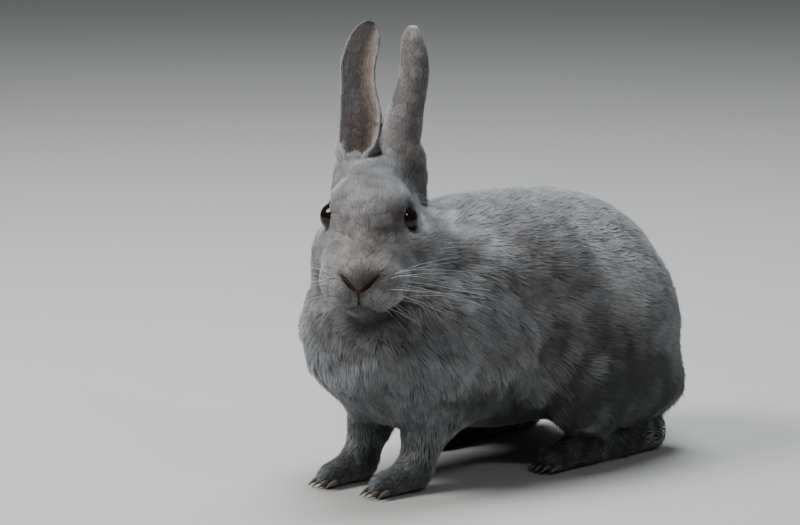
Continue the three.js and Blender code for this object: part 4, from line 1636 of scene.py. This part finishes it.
        mesh = bpy.data.meshes.new(name)
        sizes = np.array([len(face) for face in shape.faces])
        corners = np.concatenate(shape.faces)
        all_corners = (corners[None] + per * np.arange(count)[:, None]).ravel()
        mesh.vertices.add(count * per)
        mesh.loops.add(len(all_corners))
        mesh.polygons.add(count * len(sizes))
        mesh.vertices.foreach_set("co", (points * MM).astype(np.float32).ravel())
        mesh.loops.foreach_set("vertex_index", all_corners.astype(np.int32))
        all_sizes = np.tile(sizes, count)
        starts = np.concatenate([[0], np.cumsum(all_sizes)[:-1]])
        mesh.polygons.foreach_set("loop_start", starts.astype(np.int32))
        mesh.polygons.foreach_set("use_smooth", np.ones(len(all_sizes), bool))
        mesh.update(calc_edges=True)
        shading = mesh.attributes.new("custom_normal", "FLOAT_VECTOR", "POINT")
        shading.data.foreach_set("vector", np.stack(normals, axis=1).astype(np.float32).ravel())

        ring_index = np.arange(per)
        spot = np.column_stack([ring_index % 3 - 1, ring_index // 3 - 1]) * self.patch_size / 3
        uv = np.clip(roots["uv"][:, None] + spot[None], 0, 1).reshape(-1, 2)
        layer = mesh.uv_layers.new(name=BAKE_MAP)
        layer.data.foreach_set("uv", uv[all_corners].astype(np.float32).ravel())
        values = {"along": np.tile(alongs, count), "chance": np.repeat(roots["chance"], per)}
        values.update({mark: np.repeat(roots[mark], per) for mark in MARKS_AND_SHADE})
        for key, numbers in values.items():
            attribute = mesh.attributes.new(key, "FLOAT", "POINT")
            attribute.data.foreach_set("value", numbers.astype(np.float32))
        mesh.validate()
        piece = bpy.data.objects.new(name, mesh)
        bpy.context.scene.collection.objects.link(piece)
        log.info("%s: %d tufts, %d triangles", name, count, count * shape.triangles)
        return piece


# ---------------------------------------------------------------- whiskers and claws


@dataclass(frozen=True)
class Bristles:
    """A spray of long stiff hairs that leave the face together and droop."""

    rows: tuple[tuple[Vec, Vec, Vec], ...]
    spread: float
    length: tuple[float, float]
    count: int
    droop: float
    seed: int
    thick: float = 0.075
    far_side: float = 0.64

    def hairs(self, side: Side, distance: Callable[[Array], Array]) -> list[tuple[Array, Array]]:
        """The hairs on one side of the face.

        Args:
            side: the side.
            distance: the distance of many points from the skin.

        Returns:
            The points and faces of each hair.
        """
        rng = np.random.default_rng(SEED + self.seed + side.value)
        mirror = np.array([side.value, 1, 1])
        hairs = []
        for index in range(self.count):
            low, high, way = self.rows[index % len(self.rows)]
            share = rng.random()
            root = HEAD_FRAME.outwards((np.array(low) + share * (np.array(high) - low))[None] * mirror)
            root = settled(lambda p: distance(p) + 0.5, root, 8)[0]
            way = np.array(way) + rng.normal(0, self.spread, 3)
            way = HEAD_FRAME.ways_out(unit(way) * mirror)
            length = rng.uniform(*self.length) * (1.0 if side is Side.LEFT else self.far_side)
            steps = np.linspace(0, 1, 14)[:, None]
            sag = self.droop * rng.uniform(0.4, 1.6)
            path = root + way * steps * length + np.array([0, 0, -1]) * sag * length * steps**2
            radii = self.thick * (1 - 0.85 * steps[:, 0])
            hairs.append(tube(path, radii, 4))
        return hairs


WHISKERS = (
    Bristles(
        rows=(
            ((12, -50, -13), (17, -40, -12), (1.0, 0.3, 0.16)),
            ((13, -50, -17), (19, -40, -17), (1.0, 0.25, -0.1)),
            ((12, -49, -21), (18, -40, -22), (1.0, 0.2, -0.38)),
        ),
        spread=0.13, length=(38, 66), count=15, droop=0.16, seed=31,
    ),
    Bristles(
        rows=(((9, -51, -22), (16, -42, -26), (0.8, 0.15, -0.75)),),
        spread=0.13, length=(24, 42), count=7, droop=0.12, seed=32,
    ),
    Bristles(
        rows=(((14, -8, 10), (17, 2, 13), (0.45, 0.1, 1.0)),),
        spread=0.24, length=(24, 36), count=2, droop=0.12, seed=33, thick=0.06,
    ),
    Bristles(
        rows=(((26, -6, -16), (30, 2, -20), (1.0, 0.25, 0.05)),),
        spread=0.12, length=(26, 36), count=2, droop=0.14, seed=34, thick=0.07,
    ),
)


@dataclass(frozen=True)
class Claws:
    """The claws of one kind of foot: four across its front."""

    foot: str
    place: Vec
    pitch: float
    setback: float
    length: float = 8.0
    radius: float = 1.5
    droop: float = 2.4
    tip: float = 0.16

    def make(self, side: Side) -> bpy.types.Object:
        """Builds the claws of one foot and lets them stand for the frame's."""
        parts = []
        for toe in range(4):
            across = toe - 1.5
            x, y, z = self.place
            root = np.array([(x + across * self.pitch) * side.value, y + self.setback * abs(across), z])
            share = np.linspace(0, 1, 9)[:, None]
            path = root + share * (0, -self.length, 0) + share**2 * (0, 0, -self.droop)
            radii = self.radius * (1 - (1 - self.tip) * share[:, 0] ** 1.3)
            parts.append(tube(path, radii, 12))
        piece = mesh_object(f"claws_{self.foot}_{side.word}", *merged(parts))
        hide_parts(*(f"claw_{self.foot}_{side.word}_{toe}" for toe in range(1, 5)))
        return piece


CLAWS = (
    Claws("fore", (19, -103.5, 4.2), pitch=4.4, setback=1.6),
    Claws("hind", (46, 6.5, 4.4), pitch=4.8, setback=2.0),
)


# ---------------------------------------------------------------- finishes


Colour = tuple[float, float, float]


class Graph:
    """A material's nodes, added one by one."""

    def __init__(self, name: str) -> None:
        """Starts a material with a Principled shader."""
        self.material = bpy.data.materials.new(name)
        self.material.use_nodes = True
        self.tree = self.material.node_tree
        self.shader = self.tree.nodes["Principled BSDF"]

    def add(self, kind: str, inputs: dict[Any, Any] | None = None, **settings: Any) -> bpy.types.Node:
        """Adds a node.

        Args:
            kind: its type, without the ShaderNode in front.
            inputs: values or other nodes' outputs, by input name or number.
            settings: the node's own settings.

        Returns:
            The node.
        """
        node = self.tree.nodes.new("ShaderNode" + kind)
        for name, value in settings.items():
            setattr(node, name, value)
        for name, value in (inputs or {}).items():
            self.feed(node.inputs[name], value)
        return node

    def feed(self, socket: bpy.types.NodeSocket, value: Any) -> None:
        """Sets a socket's value, or links another node's output to it."""
        if isinstance(value, bpy.types.NodeSocket):
            self.tree.links.new(value, socket)
        elif isinstance(value, tuple) and socket.type == "RGBA":
            socket.default_value = (*value, 1)
        else:
            socket.default_value = value

    def mark(self, name: str) -> bpy.types.NodeSocket:
        """A number that the mesh carries."""
        return self.add("Attribute", attribute_name=name).outputs["Fac"]

    def sum(self, operation: str, *values: Any, clamp: bool = False) -> bpy.types.NodeSocket:
        """The result of a maths node on the given numbers."""
        inputs = dict(enumerate(values))
        return self.add("Math", inputs, operation=operation, use_clamp=clamp).outputs[0]

    def mix(self, share: Any, first: Any, second: Any, blend: str = "MIX") -> bpy.types.NodeSocket:
        """A mix of two colours."""
        inputs = {0: share, 6: first, 7: second}
        return self.add("Mix", inputs, data_type="RGBA", blend_type=blend).outputs[2]

    def noise(self, size: float, detail: float = 2.0, stretch: Vec = (1, 1, 1)) -> bpy.types.NodeSocket:
        """A noise with features of about the given size in millimetres, from 0 to 1."""
        coordinates = self.add("TexCoord").outputs["Object"]
        mapped = self.add("Mapping", {"Vector": coordinates, "Scale": stretch}).outputs[0]
        node = self.add("TexNoise", {"Vector": mapped, "Scale": 1 / (size * MM), "Detail": detail})
        return node.outputs["Fac"]

    def ramp(self, share: Any, stops: Sequence[tuple[float, Colour]]) -> bpy.types.NodeSocket:
        """A colour that runs through stops."""
        node = self.add("ValToRGB", {"Fac": share})
        ramp = node.color_ramp
        while len(ramp.elements) < len(stops):
            ramp.elements.new(0.5)
        for element, (at, colour) in zip(ramp.elements, stops):
            element.position = at
            element.color = (*colour, 1)
        return node.outputs["Color"]

    def shade(self, **inputs: Any) -> None:
        """Sets the shader's inputs, by name with underscores for spaces."""
        for name, value in inputs.items():
            self.feed(self.shader.inputs[name.replace("_", " ")], value)

    def bump(self, height: Any, distance: float, strength: float = 1.0) -> None:
        """Raises the surface by a height from 0 to 1, over a distance in millimetres."""
        node = self.add("Bump", {"Height": height, "Distance": distance * MM, "Strength": strength})
        self.feed(self.shader.inputs["Normal"], node.outputs[0])


@dataclass(frozen=True)
class FurColours:
    """The colours of the coat: blue-grey hairs with dark roots and pale tips, browner in places, with
    painted shade and painted light mixed in.
    """

    root: Colour = (0.026, 0.024, 0.024)
    middle: Colour = (0.084, 0.088, 0.093)
    tip: Colour = (0.245, 0.257, 0.273)
    brown_root: Colour = (0.035, 0.026, 0.021)
    brown_middle: Colour = (0.12, 0.098, 0.085)
    brown_tip: Colour = (0.27, 0.235, 0.21)
    # pale is the colour of pale markings and of painted light; dark of dark markings and of painted
    # shade.
    pale: Colour = (0.52, 0.52, 0.53)
    dark: Colour = (0.013, 0.013, 0.012)
    flesh: Colour = (0.33, 0.205, 0.155)
    wet: Colour = (0.02, 0.011, 0.009)

    def colour(self, graph: Graph, along: Any, lift: Any) -> bpy.types.NodeSocket:
        """The coat's colour at a share of a hair's length, with its markings and its painted shade and
        light.

        Args:
            graph: the material.
            along: the share of the hair's length.
            lift: how light this hair is, about 1.

        Returns:
            The colour's socket.
        """
        blue = graph.ramp(along, ((0, self.root), (0.5, self.middle), (1, self.tip)))
        brown = graph.ramp(along, ((0, self.brown_root), (0.5, self.brown_middle), (1, self.brown_tip)))
        patchy = graph.sum("MULTIPLY_ADD", graph.noise(14), 0.4, -0.15)
        warm = graph.sum("ADD", graph.mark("brown"), patchy, clamp=True)
        colour = graph.mix(warm, blue, brown)
        # Pale brings in pale markings and painted light, and dark brings in dark markings and painted
        # shade.
        paleness = graph.sum("MULTIPLY", graph.mark("pale"), along)
        colour = graph.mix(graph.sum("MULTIPLY", paleness, 0.8), colour, self.pale)
        colour = graph.mix(graph.sum("MULTIPLY", graph.mark("dark"), 0.85), colour, self.dark)
        lifted = graph.add("CombineColor", {0: lift, 1: lift, 2: lift}).outputs[0]
        return graph.mix(1.0, colour, lifted, "MULTIPLY")


@dataclass(frozen=True)
class CoatFinish:
    """The finish of the tufts."""

    colours: FurColours = FurColours()
    roughness: float = 0.62
    sheen: float = 0.2
    sheen_tint: Colour = (0.82, 0.87, 0.95)

    def make(self) -> bpy.types.Material:
        """Builds the material."""
        graph = Graph("coat")
        chance = graph.mark("chance")
        along = graph.sum("MULTIPLY_ADD", chance, 0.3, -0.15)
        along = graph.sum("ADD", graph.mark("along"), along, clamp=True)
        lift = graph.sum("MULTIPLY_ADD", graph.noise(9), 0.8, 0.26)
        lift = graph.sum("ADD", lift, graph.sum("MULTIPLY", chance, 0.76))
        graph.shade(
            Base_Color=self.colours.colour(graph, along, lift),
            Roughness=self.roughness,
            Specular_IOR_Level=0.3,
            Sheen_Weight=self.sheen,
            Sheen_Roughness=0.5,
            Sheen_Tint=self.sheen_tint,
        )
        return graph.material


@dataclass(frozen=True)
class SkinFinish:
    """The finish of the skin: short flat fur, and bare skin at the lids, nose and ears."""

    colours: FurColours = FurColours()

    def make(self) -> bpy.types.Material:
        """Builds the material."""
        graph = Graph("skin")
        grain = graph.noise(0.7, 3.0)
        along = graph.sum("MULTIPLY_ADD", grain, 0.9, -0.1, clamp=True)
        lift = graph.sum("MULTIPLY_ADD", graph.noise(5), 0.4, 0.6)
        fur = self.colours.colour(graph, along, lift)
        vein = graph.sum("MULTIPLY_ADD", graph.noise(4, 3.0), 0.8, 0.2, clamp=True)
        bare = graph.mix(vein, self.colours.wet, self.colours.flesh)
        bare = graph.mix(graph.mark("dark"), bare, self.colours.wet)
        flesh = graph.mark("flesh")
        roughness = graph.sum("MULTIPLY_ADD", flesh, -0.25, 0.75)
        colour = graph.mix(flesh, fur, bare)
        graph.shade(Base_Color=colour, Roughness=roughness, Specular_IOR_Level=0.35)
        graph.bump(grain, 0.35, 0.7)
        return graph.material


@dataclass(frozen=True)
class EyeFinish:
    """A wet, almost black brown eye."""

    pupil: Colour = (0.004, 0.003, 0.003)
    iris: Colour = (0.008, 0.0045, 0.003)
    rim: Colour = (0.005, 0.0035, 0.003)

    def make(self) -> bpy.types.Material:
        """Builds the material."""
        graph = Graph("eye")
        away = graph.mark("away")
        fibres = graph.sum("MULTIPLY_ADD", graph.noise(0.5, 3.0), 0.1, -0.05)
        share = graph.sum("ADD", away, fibres, clamp=True)
        stops = (
            (0.0, self.pupil), (0.36, self.pupil), (0.44, self.iris), (0.7, self.iris), (0.8, self.rim),
        )
        graph.shade(
            Base_Color=graph.ramp(share, stops),
            Roughness=0.04,
            IOR=1.37,
            Specular_IOR_Level=0.5,
        )
        return graph.material


@dataclass(frozen=True)
class HornFinish:
    """Smooth dull horn, darker at the root."""

    root: Colour = (0.05, 0.04, 0.033)
    tip: Colour = (0.2, 0.165, 0.13)

    def make(self) -> bpy.types.Material:
        """Builds the material."""
        graph = Graph("claw")
        streaks = graph.noise(0.6, 2.0, (1, 0.15, 1))
        graph.shade(
            Base_Color=graph.mix(graph.sum("MULTIPLY", streaks, 0.9), self.root, self.tip),
            Roughness=graph.sum("MULTIPLY_ADD", streaks, 0.2, 0.32),
        )
        graph.bump(streaks, 0.08, 0.5)
        return graph.material


@dataclass(frozen=True)
class WhiskerFinish:
    """Stiff white hair."""

    root: Colour = (0.12, 0.115, 0.11)
    tip: Colour = (0.62, 0.62, 0.61)

    def make(self) -> bpy.types.Material:
        """Builds the material."""
        graph = Graph("whisker")
        colour = graph.mix(graph.noise(9), self.root, self.tip)
        graph.shade(Base_Color=graph.mix(0.35, colour, self.tip), Roughness=0.4, Specular_IOR_Level=0.5)
        return graph.material


# ---------------------------------------------------------------- the studio


@dataclass(frozen=True)
class Studio:
    """A plain pale floor, soft lights and the camera."""

    distance: float = 2000.0
    across: float = 16.58
    down: float = -23.8
    azimuth: float = 42.0
    elevation: float = 9.0
    lens: float = 168.3
    floor: Colour = (0.42, 0.42, 0.41)

    def ways(self) -> tuple[Array, Array, Array]:
        """The camera's right, up and forward."""
        a, e = math.radians(self.azimuth), math.radians(self.elevation)
        back = np.array([math.sin(a) * math.cos(e), -math.cos(a) * math.cos(e), math.sin(e)])
        right = np.array([math.cos(a), math.sin(a), 0])
        return right, np.cross(back, right), -back

    def camera(self, eyes: Array) -> None:
        """Places the camera, given the middle between the eyes in millimetres."""
        right, up, ahead = self.ways()
        place = eyes + self.across * right + self.down * up - self.distance * ahead
        data = bpy.data.cameras.new("camera")
        data.lens = self.lens
        data.sensor_width = 36
        data.clip_end = 50
        camera = bpy.data.objects.new("camera", data)
        camera.matrix_world = Matrix(np.vstack([
            np.column_stack([right, up, -ahead, place * MM]), [0, 0, 0, 1]
        ]).tolist())
        bpy.context.scene.collection.objects.link(camera)
        bpy.context.scene.camera = camera

    def sweep(self) -> None:
        """Builds the floor."""
        size = 6000.0
        points = [(x, y, 0) for x in (-size, size) for y in (-size, size)]
        floor = mesh_object("floor", np.array(points), [(0, 2, 3, 1)])
        graph = Graph("floor")
        tone = graph.mix(graph.noise(400), tuple(0.97 * c for c in self.floor), self.floor)
        graph.shade(Base_Color=tone, Roughness=0.8, Specular_IOR_Level=0.2)
        floor.data.materials.append(graph.material)

    def light(self, name: str, place: Vec, size: float, power: float, colour: Colour) -> None:
        """Adds one soft light that faces the rabbit.

        Args:
            name: its name.
            place: where it is, as millimetres right, up and towards the camera.
            size: its width, in millimetres.
            power: its power, in watts.
            colour: its colour.
        """
        right, _, ahead = self.ways()
        toward = unit(-ahead * (1, 1, 0))
        at = place[0] * right + place[1] * np.array([0, 0, 1]) + place[2] * toward
        data = bpy.data.lights.new(name, "AREA")
        data.shape = "DISK"
        data.size = size * MM
        data.energy = power
        data.color = colour
        lamp = bpy.data.objects.new(name, data)
        lamp.location = Vector((at * MM).tolist())
        aim = Vector((0, 0, 0.11)) - lamp.location
        lamp.rotation_euler = aim.to_track_quat("-Z", "Y").to_euler()
        bpy.context.scene.collection.objects.link(lamp)

    def lights(self) -> None:
        """Adds the lights and the pale surroundings."""
        self.light("key", (-1300, 1400, 400), 900, 42, (1.0, 0.99, 0.97))
        self.light("top", (0, 1900, -500), 1200, 53, (0.95, 0.98, 1.0))
        self.light("fill", (900, 1500, 1200), 350, 6, (1.0, 0.99, 0.97))
        world = bpy.data.worlds.new("surroundings")
        world.use_nodes = True
        shade = world.node_tree.nodes["Background"]
        shade.inputs["Color"].default_value = (0.8, 0.85, 0.9, 1)
        shade.inputs["Strength"].default_value = 0.12
        bpy.context.scene.world = world


# ---------------------------------------------------------------- the rabbit


@dataclass
class Rabbit:
    """The whole rabbit."""

    coat_map: CoatMap = field(default_factory=whole_coat)

    def shift(self) -> Array:
        """From the maker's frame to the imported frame, in millimetres."""
        middles = [(np.array(low) + high) / 2 for low, high in (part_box(f"eye_{s.word}") for s in Side)]
        mine = [eye.frame.origin for eye in EYES]
        return np.mean(middles, axis=0) / MM - np.mean(mine, axis=0)

    def make(self) -> None:
        """Builds and dresses every piece."""
        shift = self.shift()
        log.info("shift %s", shift.round(3))
        studio = Studio()
        studio.camera(shift + np.mean([eye.frame.origin for eye in EYES], axis=0))

        shaper = Skin(self.coat_map, EARS, EYES)
        skin = shaper.make()
        shaper.measure(skin)
        log.info("skin: %d faces", len(skin.data.polygons))
        coat = Coat(shaper)
        coat.grow(skin.data)
        flesh = ["head", "neck", "trunk", "tail"]
        flesh += [
            f"{part}_{side.word}"
            for part in ("foreleg", "forepaw", "thigh", "hindfoot", "ear")
            for side in Side
        ]
        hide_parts(*flesh)
        eyeballs = [self.eyeball(eye) for eye in EYES]
        claws = [claw.make(side) for claw in CLAWS for side in Side]
        sprays = [(spray, side) for spray in WHISKERS for side in Side]
        hairs = [hair for spray, side in sprays for hair in spray.hairs(side, shaper.distance)]
        whiskers = mesh_object("whiskers", *merged(hairs))

        for pieces, finish, slot in (
            ([skin], SkinFinish(), "coat"),
            (coat.pieces, CoatFinish(), "coat"),
            (eyeballs, EyeFinish(), "eye"),
            (claws, HornFinish(), "claw"),
            ([whiskers], WhiskerFinish(), "coat"),
        ):
            material = finish.make()
            for piece in pieces:
                piece.data.materials.clear()
                piece.data.materials.append(material)
                piece.data.transform(Matrix.Translation(Vector((shift * MM).tolist())))
                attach(piece, "root")
        studio.sweep()
        studio.lights()

    def eyeball(self, eye: Eye) -> bpy.types.Object:
        """Builds one eyeball, marked by how far each point is from the middle of the pupil."""
        points, faces = eye.ball(steps=64)
        piece = mesh_object(f"eyeball_{eye.side.word}", points, faces)
        local = eye.frame.inwards(points)
        away = np.arccos(np.clip(local[:, 0] / np.linalg.norm(local, axis=1), -1, 1)) / (math.pi / 2)
        layer = piece.data.attributes.new("away", "FLOAT", "POINT")
        layer.data.foreach_set("value", away.astype(np.float32))
        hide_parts(f"eye_{eye.side.word}")
        return piece


def main() -> None:
    """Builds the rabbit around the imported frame."""
    logging.basicConfig(level=logging.INFO, format="%(message)s", stream=sys.stdout)
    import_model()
    Rabbit().make()


if __name__ == "__main__":
    main()
